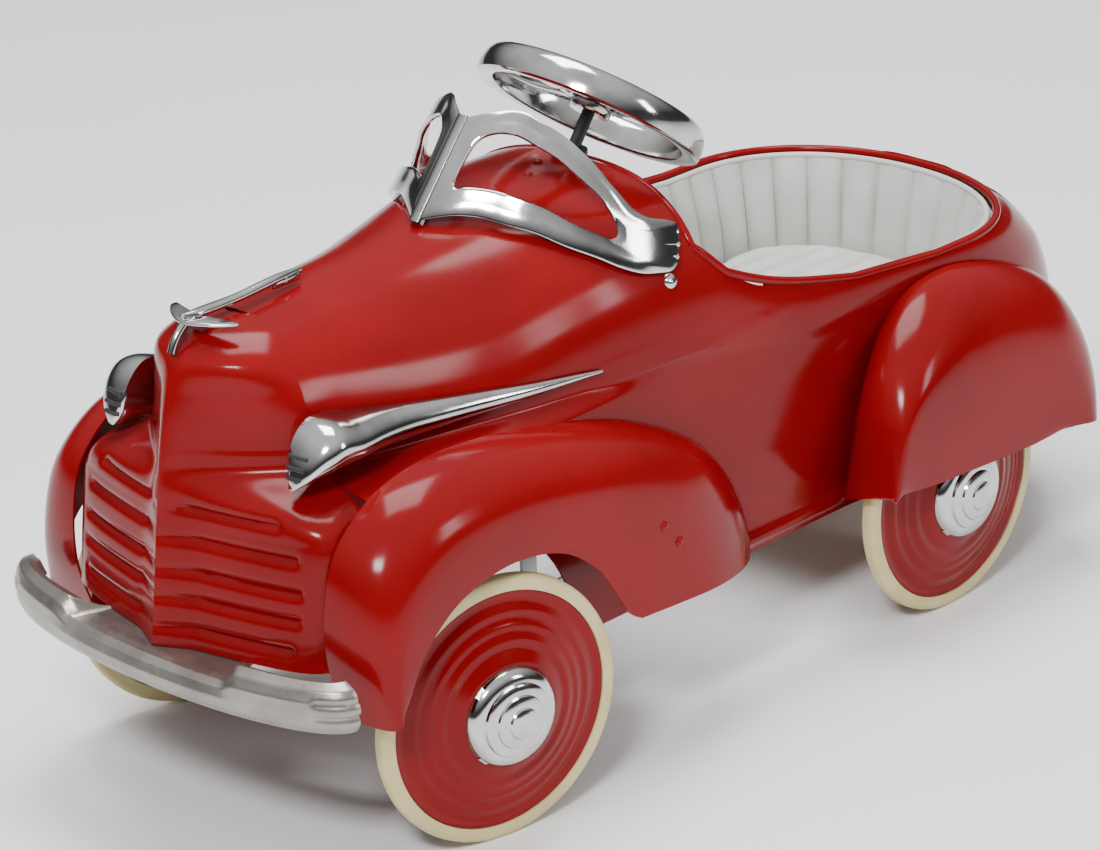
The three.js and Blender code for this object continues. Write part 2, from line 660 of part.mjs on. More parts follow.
function screenPane(side) {
  const rows = 2;
  const count = screenOutline.length;
  const ringAt = (share, depth) => screenOutline.map(([u, h], k) => {
    const [openU, openH] = screenOpening[k];
    const atU = THREE.MathUtils.lerp(openU, u, share);
    return screenPoint(atU, THREE.MathUtils.lerp(openH, h, share), depth, side);
  });
  const rings = [];
  for (let r = 0; r <= rows; r++) rings.push(ringAt(r / rows, 0));
  for (let r = rows; r >= 0; r--) rings.push(ringAt(r / rows, SCREEN_THICKNESS));
  const points = rings.flat();
  const faces = [];
  for (let r = 0; r < rings.length; r++) {
    const below = r * count;
    const above = ((r + 1) % rings.length) * count;
    for (let k = 0; k < count; k++) {
      const next = (k + 1) % count;
      faces.push([below + k, below + next, above + next], [below + k, above + next, above + k]);
    }
  }
  return closedGeometry(points, faces);
}

function buildScreen() {
  const post = loft([0, 86].map((h) => [[-4.5, -2], [4.5, -2], [5.5, 3.5], [-5.5, 3.5]]
    .map(([x, depth]) => {
      const point = screenPoint(0, h, 0, 1);
      return new THREE.Vector3(x, point.y + depth * 0.7674, point.z - depth * 0.6414);
    })));
  return union(screenPane(1), screenPane(-1), post);
}
place("windshield_frame", geometryOf(buildScreen()), chrome);

// ---------------------------------------------------------------- steering
const COLUMN_FOOT = COLUMN_TOP.clone().addScaledVector(COLUMN_AXIS, -COLUMN_LENGTH);
const steering = new THREE.Group();
car.add(steering);

function aboutColumn(point, angle) {
  return point.clone().applyAxisAngle(COLUMN_AXIS, angle);
}
const PITMAN_DOWN = new THREE.Vector3(0, COLUMN_AXIS.z, -COLUMN_AXIS.y);
const pitman = aboutColumn(PITMAN_DOWN, PITMAN_REST);
const PITMAN_PIN = 3;

function buildColumn() {
  const top = COLUMN_TOP.clone().addScaledVector(COLUMN_AXIS, 12);
  const shaft = bentRod([top, COLUMN_FOOT], COLUMN_RADIUS);
  const elbow = COLUMN_FOOT.clone().addScaledVector(pitman, PITMAN_LENGTH);
  const end = elbow.clone().addScaledVector(COLUMN_AXIS, -22);
  const arm = bentRod([COLUMN_FOOT, elbow, end], PITMAN_PIN + 0.4);
  const ball = new THREE.SphereGeometry(COLUMN_RADIUS, 8, 6).translate(...COLUMN_FOOT.toArray());
  return shaft.add(arm).add(solid(ball));
}
place("steering_column", geometryOf(buildColumn()), blackSteel, steering);

// A ring-shaped piece that is turned about its own Y axis and then set on the column.
function onColumn(geometry, offset) {
  const turn = new THREE.Quaternion().setFromUnitVectors(new THREE.Vector3(0, 1, 0), COLUMN_AXIS);
  const at = COLUMN_TOP.clone().addScaledVector(COLUMN_AXIS, offset);
  return geometry.applyQuaternion(turn).translate(at.x, at.y, at.z);
}

function ringProfile(profile, segments) {
  const outline = profile.map(([radius, height]) => new THREE.Vector2(radius, height));
  if (profile[0][0] > 0) outline.push(outline[0].clone());
  return new THREE.LatheGeometry(outline, segments);
}

const SPOKE_ANGLES = [5, 185, -85].map((degrees) => THREE.MathUtils.degToRad(degrees));
function buildSteeringWheel() {
  const outer = WHEEL_RING_RADIUS;
  const rim = ringProfile([[outer, -11], [outer, -2], [outer - 3, 7], [outer - 7, 11],
    [outer - 10.5, 7], [outer - 12.5, -2], [outer - 13, -11]], 36);
  const hub = ringProfile([[COLUMN_RADIUS + GAP, -9], [15, -9], [17, -3], [26, -1], [24, 3],
    [10, 6], [COLUMN_RADIUS + GAP, 6]], 20);
  const spokes = SPOKE_ANGLES.map((angle) => {
    const arm = new THREE.Shape();
    arm.moveTo(16, -14);
    arm.quadraticCurveTo(38, -9, 58, -13);
    arm.quadraticCurveTo(70, -17, 77, -32);
    arm.lineTo(84, 0);
    arm.lineTo(77, 32);
    arm.quadraticCurveTo(70, 17, 58, 13);
    arm.quadraticCurveTo(38, 9, 16, 14);
    const plate = new THREE.ExtrudeGeometry(arm, {
      depth: 3, bevelEnabled: false, curveSegments: 4,
    });
    return plate.rotateX(Math.PI / 2).translate(0, 1, 0).rotateY(-angle);
  });
  return union(rim, hub, ...spokes);
}
const wheelGeometry = onColumn(geometryOf(buildSteeringWheel()), 0);
place("steering_wheel", wheelGeometry, chrome, steering);
const capNut = ringProfile([[0, 12 + GAP], [8, 12 + GAP], [8, 15], [6, 18], [0, 19.5]], 16);
place("steering_wheel_nut", onColumn(geometryOf(solid(capNut)), 0), chrome, steering);
const BUSHING_STATION = 268;
const BUSHING_Z = 405.5;
const columnBore = bar(COLUMN_FOOT, COLUMN_TOP, COLUMN_RADIUS + GAP, 16);
const bushing = solid(cylinderZ(14, BUSHING_Z, BUSHING_Z + 3, 0, BUSHING_STATION, 20))
  .subtract(solid(columnBore));
place("column_bushing", geometryOf(bushing), blackSteel);

// ---------------------------------------------------------------- front axle
const AXLE_ROD = 5;
const KINGPIN_RADIUS = 4;
const LUG_THICKNESS = 4;
const BARREL_LOW = 89.5;
const BARREL_HIGH = 113.5;
const ARM_THICKNESS = 4;
const SPINDLE_END = 194;

function buildAxleBeam() {
  const middle = (BARREL_LOW + BARREL_HIGH) / 2;
  const pieces = [box(236, 16, 10, 0, FRONT_AXLE_Y, middle)];
  for (const side of [-1, 1]) {
    const height = BARREL_HIGH - BARREL_LOW + 2 * (LUG_THICKNESS + GAP);
    pieces.push(box(5, 16, height, side * 119, FRONT_AXLE_Y, middle));
    for (const z of [BARREL_LOW - GAP - LUG_THICKNESS / 2, BARREL_HIGH + GAP + LUG_THICKNESS / 2]) {
      pieces.push(box(24, 16, LUG_THICKNESS, side * 131, FRONT_AXLE_Y, z));
    }
  }
  const holes = [-1, 1].map((side) => {
    return solid(cylinderZ(KINGPIN_RADIUS + GAP, 70, 140, side * KINGPIN_X, FRONT_AXLE_Y));
  });
  return union(...pieces).subtract(holes[0]).subtract(holes[1]);
}
place("front_axle_beam", geometryOf(buildAxleBeam()), blackSteel);

const STRAP_TOP = 239;
const BEAM_TOP = (BARREL_LOW + BARREL_HIGH) / 2 + 5;
function buildAxleSupport() {
  const top = box(254, 24, 3, 0, FRONT_AXLE_Y, STRAP_TOP - 1.5);
  const pieces = [top];
  for (const side of [-1, 1]) {
    pieces.push(box(3, 24, 16, side * 125.5, FRONT_AXLE_Y, STRAP_TOP - 8));
    const low = BEAM_TOP + GAP;
    pieces.push(box(3, 16, STRAP_TOP - low, side * 90, FRONT_AXLE_Y, (STRAP_TOP + low) / 2));
    pieces.push(box(16, 16, 3, side * 96.5, FRONT_AXLE_Y, low + 1.5));
  }
  return union(...pieces);
}
place("front_axle_support", geometryOf(buildAxleSupport()), blackSteel);

// ---------------------------------------------------------------- wheels
// Profiles are (radius, distance out along the axle) on the left side of the car.
const discProfile = [
  [AXLE_ROD + GAP, 186], [38, 186], [50, 180.5], [54, 181.5], [70, 175.5], [74, 176], [84, 172.5],
  [RIM_RADIUS - 0.5, 173.5], [RIM_RADIUS - 0.5, 164], [RIM_RADIUS - 3, 164], [RIM_RADIUS - 3, 170.5],
  [38, 183.5], [9, 183.5], [9, 152], [AXLE_ROD + GAP, 152],
];
const tyreProfile = [
  [RIM_RADIUS, TYRE_INNER], [TYRE_RADIUS - 2, TYRE_INNER], [TYRE_RADIUS, TYRE_INNER + 2],
  [TYRE_RADIUS, TYRE_OUTER - 2], [TYRE_RADIUS - 2, TYRE_OUTER], [RIM_RADIUS, TYRE_OUTER],
];
const hubcapProfile = [
  [0, 206], [10, 205], [16, 201.5], [25, 198.5], [28, 195], [35.5, 191], [37.7, 186 + GAP],
  [36.2, 186 + GAP], [34, 190], [26, 194], [14, 200], [0, 204.4],
];
const nutProfile = [[6.2, 186.5], [9.5, 186.5], [9.5, 191.5], [6.2, 191.5]];

// Wheel pieces stand on the axle line of their parent; side is 1 on the left and -1 on the right.
function addWheel(name, parent, side, offset) {
  const pieces = [
    [`wheel_disc_${name}`, discProfile, TYRE_SIDES, redEnamel],
    [`tyre_${name}`, tyreProfile, TYRE_SIDES, creamRubber],
    [`hubcap_${name}`, hubcapProfile, 20, chrome],
    [`axle_nut_${name}`, nutProfile, 6, bareSteel],
  ];
  for (const [label, profile, sides, material] of pieces) {
    const geometry = turned(profile.map(([radius, x]) => [radius, side * x]), sides);
    place(label, geometry.translate(-offset, 0, AXLE_Z), material, parent);
  }
}

for (const [name, side] of [["left", 1], ["right", -1]]) {
  const corner = new THREE.Group();
  corner.position.set(side * KINGPIN_X, FRONT_AXLE_Y, 0);
  corner.rotation.z = STEER_REST;
  car.add(corner);
  const kingpin = union(
    cylinderZ(KINGPIN_RADIUS, BARREL_LOW - 10, BARREL_HIGH + 7, 0, 0),
    cylinderZ(7, BARREL_HIGH + LUG_THICKNESS + 2 * GAP, BARREL_HIGH + 8, 0, 0, 12),
  );
  place(`kingpin_${name}`, geometryOf(kingpin), bareSteel, corner);
  const barrel = union(
    cylinderZ(8, BARREL_LOW, BARREL_HIGH, 0, 0, 20),
    cylinderX(AXLE_ROD, side * 2, side * (SPINDLE_END - KINGPIN_X), 0, AXLE_Z, 16),
    cylinderX(8, side * 9, side * 15, 0, AXLE_Z, 16),
    box(10, ARM_LENGTH, ARM_THICKNESS, 0, ARM_LENGTH / 2, BARREL_LOW + ARM_THICKNESS / 2),
    cylinderZ(7, BARREL_LOW, BARREL_LOW + ARM_THICKNESS, 0, ARM_LENGTH),
    cylinderZ(3, BARREL_LOW + 1, TIE_ROD_Z + 5, 0, ARM_LENGTH, 12),
  );
  const bore = solid(cylinderZ(KINGPIN_RADIUS + GAP, 80, 120, 0, 0));
  place(`steering_knuckle_${name}`, geometryOf(barrel.subtract(bore)), blackSteel, corner);
  addWheel(`front_${name}`, corner, side, side * KINGPIN_X);
}

const TIE_ROD_SHIFT = -ARM_LENGTH * Math.sin(STEER_REST);
const TIE_ROD_Y = FRONT_AXLE_Y + ARM_LENGTH * Math.cos(STEER_REST);
const TIE_ROD_THICKNESS = 4;
const EYE_RADIUS = 10;
const EYE_HOLE = 5.2;
const SLOT_STATION = 65.9;
const SLOT_LENGTH = 18;
function buildTieRod() {
  const low = TIE_ROD_Z - TIE_ROD_THICKNESS / 2;
  const high = TIE_ROD_Z + TIE_ROD_THICKNESS / 2;
  const length = SLOT_STATION + SLOT_LENGTH / 2 + 5 - TIE_ROD_Y;
  const slot = box(8, SLOT_LENGTH, 20, TIE_ROD_SHIFT, SLOT_STATION, TIE_ROD_Z);
  const rod = union(
    box(2 * KINGPIN_X, 10, TIE_ROD_THICKNESS, TIE_ROD_SHIFT, TIE_ROD_Y, TIE_ROD_Z),
    box(18, length, TIE_ROD_THICKNESS, TIE_ROD_SHIFT, TIE_ROD_Y + length / 2, TIE_ROD_Z),
    cylinderZ(EYE_RADIUS, low, high, TIE_ROD_SHIFT + KINGPIN_X, TIE_ROD_Y, 20),
    cylinderZ(EYE_RADIUS, low, high, TIE_ROD_SHIFT - KINGPIN_X, TIE_ROD_Y, 20),
  );
  const holes = [1, -1].map((side) => {
    const x = TIE_ROD_SHIFT + side * KINGPIN_X;
    return solid(cylinderZ(EYE_HOLE, 80, 110, x, TIE_ROD_Y));
  });
  return rod.subtract(solid(slot)).subtract(holes[0]).subtract(holes[1]);
}
place("tie_rod", geometryOf(buildTieRod()), blackSteel);

// ---------------------------------------------------------------- crank axle and drive
const WEB_INNER = CRANK_PLANE - 12;
const WEB_OUTER = CRANK_PLANE + 12;
function buildCrankAxle() {
  const at = (x, rise) => new THREE.Vector3(x, REAR_AXLE_Y, AXLE_Z + rise);
  return bentRod([
    at(SPINDLE_END, 0), at(WEB_OUTER, 0), at(WEB_OUTER, CRANK_THROW), at(WEB_INNER, CRANK_THROW),
    at(WEB_INNER, 0), at(-WEB_INNER, 0), at(-WEB_INNER, -CRANK_THROW),
    at(-WEB_OUTER, -CRANK_THROW), at(-WEB_OUTER, 0), at(-SPINDLE_END, 0),
  ], AXLE_ROD);
}
place("rear_axle", geometryOf(buildCrankAxle()), bareSteel);

const rearWheels = new THREE.Group();
rearWheels.position.y = REAR_AXLE_Y;
car.add(rearWheels);
addWheel("rear_left", rearWheels, 1, 0);
addWheel("rear_right", rearWheels, -1, 0);

const BOARD_LOW = 172;
const BOARD_HIGH = 178;
const BRACKET_PLANE = 112;
const PAD_WIDTH = 36;
const PAD_INNER = 31; // x of the pads' inner ends
const [HANGER_Y, HANGER_Z] = HANGER_TOP;
const [FOOT_Y, FOOT_Z] = HANGER_FOOT;

// Stands a shape that was drawn in (station, height) and extruded upright, across the car.
function acrossCar(geometry, x, y, z) {
  return geometry.applyMatrix4(new THREE.Matrix4().set(
    0, 0, 1, x,
    1, 0, 0, y,
    0, 1, 0, z,
    0, 0, 0, 1,
  ));
}

// A flat link in the plane x between two (station, height) points, with a hole at each.
function flatLink(x, thickness, from, to, width, holes) {
  const start = new THREE.Vector2(...from);
  const run = new THREE.Vector2(...to).sub(start);
  const link = new THREE.Shape();
  link.absarc(0, 0, width / 2, Math.PI / 2, Math.PI * 1.5, false);
  link.absarc(run.length(), 0, width / 2, -Math.PI / 2, Math.PI / 2, false);
  const geometry = new THREE.ExtrudeGeometry(link, {
    depth: thickness, bevelEnabled: false, curveSegments: 8,
  });
  geometry.rotateZ(run.angle());
  const bored = solid(acrossCar(geometry, x - thickness / 2, start.x, start.y))
    .subtract(solid(cylinderX(holes[0], x - 9, x + 9, from[0], from[1], 16)));
  return bored.subtract(solid(cylinderX(holes[1], x - 9, x + 9, to[0], to[1], 16)));
}

const rod = cylinderX(4, -116, 116, HANGER_Y, HANGER_Z, 16);
place("pedal_rod", geometryOf(solid(rod)), bareSteel);

for (const [name, side] of [["left", 1], ["right", -1]]) {
  const crankPin = [REAR_AXLE_Y, AXLE_Z + side * CRANK_THROW];
  const strap = flatLink(side * CRANK_PLANE, 3, crankPin, HANGER_FOOT, 17, [AXLE_ROD + GAP, 3.5]);
  place(`drive_strap_${name}`, geometryOf(strap), bareSteel);
  const hanger = flatLink(side * PEDAL_PLANE, 3, HANGER_TOP, HANGER_FOOT, 15, [4 + GAP, 2]);
  const pin = cylinderX(3, side * 28, side * (PEDAL_PLANE + 1), FOOT_Y, FOOT_Z, 12);
  place(`pedal_hanger_${name}`, geometryOf(hanger.add(solid(pin))), bareSteel);
  const block = new THREE.Shape();
  block.absarc(0, 0, 9, 0, Math.PI, false);
  block.lineTo(-9, -30);
  block.lineTo(9, -30);
  const pad = new THREE.ExtrudeGeometry(block, {
    depth: PAD_WIDTH, bevelEnabled: false, curveSegments: 8,
  });
  const inner = side > 0 ? PAD_INNER : -PAD_INNER - PAD_WIDTH;
  const bored = solid(acrossCar(pad, inner, FOOT_Y, FOOT_Z))
    .subtract(solid(cylinderX(3 + GAP, -100, 100, FOOT_Y, FOOT_Z, 12)));
  place(`pedal_pad_${name}`, geometryOf(bored), creamRubber);
}

// ---------------------------------------------------------------- seat
function boardOutline(front, rear, inset) {
  const outline = new THREE.Shape();
  const steps = 12;
  const left = [];
  for (let k = 0; k <= steps; k++) {
    const y = front + (rear - front) * Math.sin((k / steps) * Math.PI / 2);
    left.push([bodyHalf(y, BOARD_LOW) - inset, y]);
  }
  left.forEach(([x, y], i) => (i ? outline.lineTo(x, y) : outline.moveTo(x, y)));
  left.reverse().forEach(([x, y]) => outline.lineTo(-x, y));
  return outline;
}
const boardDepth = { depth: BOARD_HIGH - BOARD_LOW, bevelEnabled: false };
const board = new THREE.ExtrudeGeometry(boardOutline(440, 660, SHEET + 2), boardDepth);
place("seat_board", board.translate(0, 0, BOARD_LOW), plywood);

for (const [name, side] of [["left", 1], ["right", -1]]) {
  const x = side * BRACKET_PLANE;
  const high = BOARD_LOW - GAP;
  const plate = union(
    box(3, 24, high - AXLE_Z + 12, x, REAR_AXLE_Y, (high + AXLE_Z - 12) / 2),
    box(20, 24, 3, x - side * 8.5, REAR_AXLE_Y, high - 1.5),
  ).subtract(solid(cylinderX(AXLE_ROD + GAP, x - 9, x + 9, REAR_AXLE_Y, AXLE_Z, 20)));
  place(`rear_axle_bracket_${name}`, geometryOf(plate), blackSteel);
}

// Plan of the upholstery: share runs from the left front corner round the tail to the right.
function rimHeight(y) {
  return 300 - Math.min(16, Math.max(0, y - 330) / 12);
}

function seatPlan(share, front, inset) {
  const side = share < 0.5 ? 1 : -1;
  const along = 1 - Math.abs(1 - 2 * share);
  const straight = 0.5; // share of each half that runs along the car's side
  if (along <= straight) {
    const y = front + (TAIL_START - front) * (along / straight);
    return [side * (bodyHalf(y, rimHeight(y)) - inset), y];
  }
  const angle = ((along - straight) / (1 - straight)) * Math.PI / 2;
  const reach = tailEnd(rimHeight(TAIL_START)) - TAIL_START - inset;
  const half = bodyHalf(TAIL_START, rimHeight(TAIL_START)) - inset;
  return [side * half * Math.cos(angle) ** 0.95, TAIL_START + reach * Math.sin(angle) ** 0.95];
}

function planRing(count, front, inset, z) {
  const ring = [];
  for (let k = 0; k <= count; k++) {
    const [x, y] = seatPlan(k / count, front, inset);
    ring.push(new THREE.Vector3(x, y, z));
  }
  return ring;
}

const PLAN_STEPS = 28;
const CUSHION_FRONT = 430;
const cushionRings = [
  [34, 0], [32, 10], [32, 32], [36, 38], [46, 42], [70, 43.5],
].map(([inset, rise]) => {
  return planRing(PLAN_STEPS, CUSHION_FRONT + inset - 32, inset, BOARD_HIGH + GAP + rise);
});
place("seat_cushion", loft(cushionRings), whiteVinyl);

const LINER_FRONT = 400;
const LINER_BASE = 180;
const LINER_THICKNESS = 8;
const linerRings = planRing(PLAN_STEPS, LINER_FRONT, 0, 0).map((_, k) => {
  const corners = [[4, 1], [4 + LINER_THICKNESS, 1], [22 + LINER_THICKNESS, 0], [22, 0]];
  return corners.map(([inset, top]) => {
    const [x, y] = seatPlan(k / PLAN_STEPS, LINER_FRONT, inset);
    return new THREE.Vector3(x, y, top ? rimHeight(y) - 3 : LINER_BASE);
  });
});
place("seat_liner", loft(linerRings), whiteVinyl);

// ---------------------------------------------------------------- fasteners
// A round head of the given radius that stands on a surface at a point, facing along a normal.
function roundHead(radius, point, normal) {
  const rise = radius * 0.55;
  const head = ringProfile([[0, rise], [radius * 0.5, rise * 0.9], [radius * 0.85, rise * 0.5],
    [radius, 0], [0, 0]], 12);
  const facing = new THREE.Vector3(...normal).normalize();
  const turn = new THREE.Quaternion().setFromUnitVectors(new THREE.Vector3(0, 1, 0), facing);
  const at = new THREE.Vector3(...point).addScaledVector(facing, GAP);
  return geometryOf(solid(head.applyQuaternion(turn).translate(at.x, at.y, at.z)));
}

// Left side of the car: point on the front fender and the way its surface faces there.
const fenderBolts = [
  [[185.7, 161, 189.9], [1, 0, 0]],
  [[185.7, 176.6, 172.6], [1, 0, 0]],
];
const BOLT_RADIUS = 4;
const SCREW_RADIUS = 6;
const screenScrew = [[125, 239.8, 341.7], [0.89, -0.07, 0.45]];
for (const [name, side] of [["left", 1], ["right", -1]]) {
  const mirrored = ([x, y, z]) => [side * x, y, z];
  fenderBolts.forEach(([point, normal], k) => {
    const bolt = roundHead(BOLT_RADIUS, mirrored(point), mirrored(normal));
    place(`front_fender_bolt_${name}_${k + 1}`, bolt, redEnamel);
  });
  const [point, normal] = screenScrew;
  const screw = roundHead(SCREW_RADIUS, mirrored(point), mirrored(normal));
  place(`windshield_screw_${name}`, screw, chrome);
}
const cowlBolts = [[8, 215, 404.6], [-6, 240, 405]];
cowlBolts.forEach((point, k) => {
  place(`cowl_bolt_${k + 1}`, roundHead(BOLT_RADIUS, point, [0, 0, 1]), redEnamel);
});

export default car;
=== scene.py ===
import json
import math
import bpy
import bmesh
from mathutils import Matrix, Vector
from mathutils.bvhtree import BVHTree


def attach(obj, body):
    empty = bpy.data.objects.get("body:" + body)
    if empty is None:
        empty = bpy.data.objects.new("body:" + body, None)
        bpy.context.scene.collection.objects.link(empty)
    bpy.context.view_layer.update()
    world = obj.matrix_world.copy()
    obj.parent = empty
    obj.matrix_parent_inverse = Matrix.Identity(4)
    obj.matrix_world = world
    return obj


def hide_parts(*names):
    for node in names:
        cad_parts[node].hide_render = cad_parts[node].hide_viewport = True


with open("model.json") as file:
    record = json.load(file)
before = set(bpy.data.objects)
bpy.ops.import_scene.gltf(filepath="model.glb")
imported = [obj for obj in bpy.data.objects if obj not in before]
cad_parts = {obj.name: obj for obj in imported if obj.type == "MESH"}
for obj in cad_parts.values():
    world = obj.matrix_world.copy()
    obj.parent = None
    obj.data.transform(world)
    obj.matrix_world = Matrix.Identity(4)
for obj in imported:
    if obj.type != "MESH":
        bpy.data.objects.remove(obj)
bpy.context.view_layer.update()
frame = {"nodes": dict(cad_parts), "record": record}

# ------------------------------------------------------------ shared dimensions, millimetres
# Stations run along the car from nose to tail. CENTRE is the station of the frame's origin.
CENTRE = 290.05
ROCKER_Z = 100  # bottom edge of the body
TAIL_START = 560  # station where the sides begin to close into the tail
TAIL_TOP = 315  # height of the tail's deck
TAIL_LAST = 768  # station of the rearmost point
SHOULDER_DROP = 15  # height over which the hood spreads to the width of the sides
BODY_START = -66  # station where the nose pressing meets the hood
SHEET = 2  # thickness of the pressed steel
SEAM = 1  # air between the body and the pressings that meet it
AXLE_Z = 101.6 * math.cos(math.pi / 24)  # the CAD tyres stand on a flat
FRONT_AXLE_Y = 6.5
REAR_AXLE_Y = 508
KINGPIN_X = 135
STEER_REST = math.radians(-10.2)
COLUMN_TOP = Vector((0, 295, 438.5))
COLUMN_TILT = math.radians(37.2)
SIDES = (("left", 1), ("right", -1))


def clamp(value, low=0.0, high=1.0):
    return max(low, min(high, value))


def lerp(a, b, t):
    return a + (b - a) * t


def smooth(value, low, high):
    t = clamp((value - low) / (high - low))
    return t * t * (3 - 2 * t)


def bell(distance, width):
    return math.exp(-((distance / width) ** 2))


def turns(count):
    """Equal angles round a full turn."""
    return [2 * math.pi * k / count for k in range(count)]


def through(pairs):
    """A smooth function through a few (position, value) pairs."""
    last = len(pairs) - 1
    slope = []
    for i in range(last + 1):
        x0, v0 = pairs[max(i - 1, 0)]
        x1, v1 = pairs[min(i + 1, last)]
        slope.append((v1 - v0) / (x1 - x0))

    def value(x):
        if x <= pairs[0][0]:
            return pairs[0][1]
        if x >= pairs[last][0]:
            return pairs[last][1]
        i = next(k for k in range(last + 1) if pairs[k][0] > x) - 1
        x0, v0 = pairs[i]
        x1, v1 = pairs[i + 1]
        span = x1 - x0
        t = (x - x0) / span
        rise = t * t * (3 - 2 * t)
        bend0 = t * (1 - t) * (1 - t) * span * slope[i]
        bend1 = t * t * (t - 1) * span * slope[i + 1]
        return v0 + (v1 - v0) * rise + bend0 + bend1

    return value


def curve_through(points):
    """A Catmull-Rom curve through points, by share of its length."""
    pts = [Vector(p) for p in points]
    fine = []
    for i in range(len(pts) - 1):
        p0 = pts[max(i - 1, 0)]
        p1 = pts[i]
        p2 = pts[i + 1]
        p3 = pts[min(i + 2, len(pts) - 1)]
        for k in range(12):
            t = k / 12
            fine.append(0.5 * (2 * p1 + (p2 - p0) * t + (2 * p0 - 5 * p1 + 4 * p2 - p3) * t * t
                        + (3 * p1 - p0 - 3 * p2 + p3) * t ** 3))
    fine.append(pts[-1])
    lengths = [0.0]
    for a, b in zip(fine, fine[1:]):
        lengths.append(lengths[-1] + (b - a).length)

    def at(share):
        want = clamp(share) * lengths[-1]
        low, high = 0, len(fine) - 1
        while high - low > 1:
            middle = (low + high) // 2
            if lengths[middle] <= want:
                low = middle
            else:
                high = middle
        span = lengths[high] - lengths[low] or 1
        return fine[low].lerp(fine[high], (want - lengths[low]) / span)

    return at


# ------------------------------------------------------------ materials
COLOUR_DETAIL, FINE_DETAIL = 6.0, 4.0
FINE_SCALE = 6  # the roughness noise is finer than the colour noise by this
RELIEF = 0.001  # metres


def procedural(name, color, dark, rough, metal=0.0, scale=40.0, spread=0.08, bump=0.05,
               gloss=0.5, stretch=(1, 1, 1), bump_scale=400.0):
    """A principled surface whose colour, roughness and relief all come from noise."""
    material = bpy.data.materials.new(name)
    material.use_nodes = True
    nodes = material.node_tree.nodes
    links = material.node_tree.links
    shader = nodes["Principled BSDF"]
    place = nodes.new("ShaderNodeTexCoord")
    mapping = nodes.new("ShaderNodeMapping")
    mapping.inputs["Scale"].default_value = stretch
    links.new(place.outputs["Object"], mapping.inputs["Vector"])
    noise = nodes.new("ShaderNodeTexNoise")
    noise.inputs["Scale"].default_value = scale
    noise.inputs["Detail"].default_value = COLOUR_DETAIL
    links.new(mapping.outputs["Vector"], noise.inputs["Vector"])
    ramp = nodes.new("ShaderNodeValToRGB")
    ramp.color_ramp.elements[0].position = 0.3
    ramp.color_ramp.elements[0].color = (*dark, 1)
    ramp.color_ramp.elements[1].position = 0.65
    ramp.color_ramp.elements[1].color = (*color, 1)
    links.new(noise.outputs["Fac"], ramp.inputs["Fac"])
    links.new(ramp.outputs["Color"], shader.inputs["Base Color"])
    fine = nodes.new("ShaderNodeTexNoise")
    fine.inputs["Scale"].default_value = scale * FINE_SCALE
    fine.inputs["Detail"].default_value = FINE_DETAIL
    links.new(mapping.outputs["Vector"], fine.inputs["Vector"])
    span = nodes.new("ShaderNodeMapRange")
    span.inputs["To Min"].default_value = max(0.02, rough - spread)
    span.inputs["To Max"].default_value = rough + spread
    links.new(fine.outputs["Fac"], span.inputs["Value"])
    links.new(span.outputs["Result"], shader.inputs["Roughness"])
    shader.inputs["Metallic"].default_value = metal
    shader.inputs["Specular IOR Level"].default_value = gloss
    grain = nodes.new("ShaderNodeTexNoise")
    grain.inputs["Scale"].default_value = bump_scale
    links.new(mapping.outputs["Vector"], grain.inputs["Vector"])
    relief = nodes.new("ShaderNodeBump")
    relief.inputs["Strength"].default_value = bump
    relief.inputs["Distance"].default_value = RELIEF
    links.new(grain.outputs["Fac"], relief.inputs["Height"])
    links.new(relief.outputs["Normal"], shader.inputs["Normal"])
    return material


RED = procedural("red_enamel", (0.215, 0.004, 0.006), (0.165, 0.003, 0.0045), 0.15, scale=9,
                 spread=0.05, bump=0.03, bump_scale=60, gloss=0.16)
CHROME = procedural("chrome", (0.60, 0.60, 0.60), (0.42, 0.41, 0.40), 0.12, metal=1, scale=30,
                    spread=0.05, bump=0.02)
SILVER = procedural("silver_paint", (0.33, 0.31, 0.28), (0.22, 0.20, 0.18), 0.34, metal=0.85,
                    scale=26, spread=0.12, bump=0.12, bump_scale=260)
BLACK = procedural("black_steel", (0.022, 0.022, 0.025), (0.010, 0.010, 0.011), 0.42, metal=0.2,
                   scale=40, spread=0.1, bump=0.08)
CREAM = procedural("cream_rubber", (0.62, 0.53, 0.27), (0.54, 0.45, 0.21), 0.55, scale=28,
                   spread=0.1, bump=0.1, bump_scale=500)
VINYL = procedural("white_vinyl", (0.60, 0.60, 0.58), (0.52, 0.52, 0.49), 0.42, scale=35,
                   spread=0.08, bump=0.35, bump_scale=900)
STEEL = procedural("bare_steel", (0.45, 0.45, 0.46), (0.32, 0.32, 0.33), 0.34, metal=1,
                   scale=60, spread=0.1, bump=0.1, stretch=(0.2, 1, 1))
WOOD = procedural("plywood", (0.50, 0.33, 0.18), (0.34, 0.21, 0.10), 0.6, scale=14, spread=0.1,
                  bump=0.25, stretch=(9, 0.7, 9))
SLOT_DARK = procedural("slot_shadow", (0.02, 0.02, 0.02), (0.008, 0.008, 0.008), 0.6, scale=40)
FLOOR = procedural("pale_floor", (0.93, 0.93, 0.93), (0.915, 0.915, 0.915), 0.7, scale=2,
                   spread=0.05, bump=0.02)
FINISH = {"red_enamel": RED, "chrome": CHROME, "silver_paint": SILVER, "black_steel": BLACK,
          "cream_rubber": CREAM, "white_vinyl": VINYL, "bare_steel": STEEL, "plywood": WOOD}


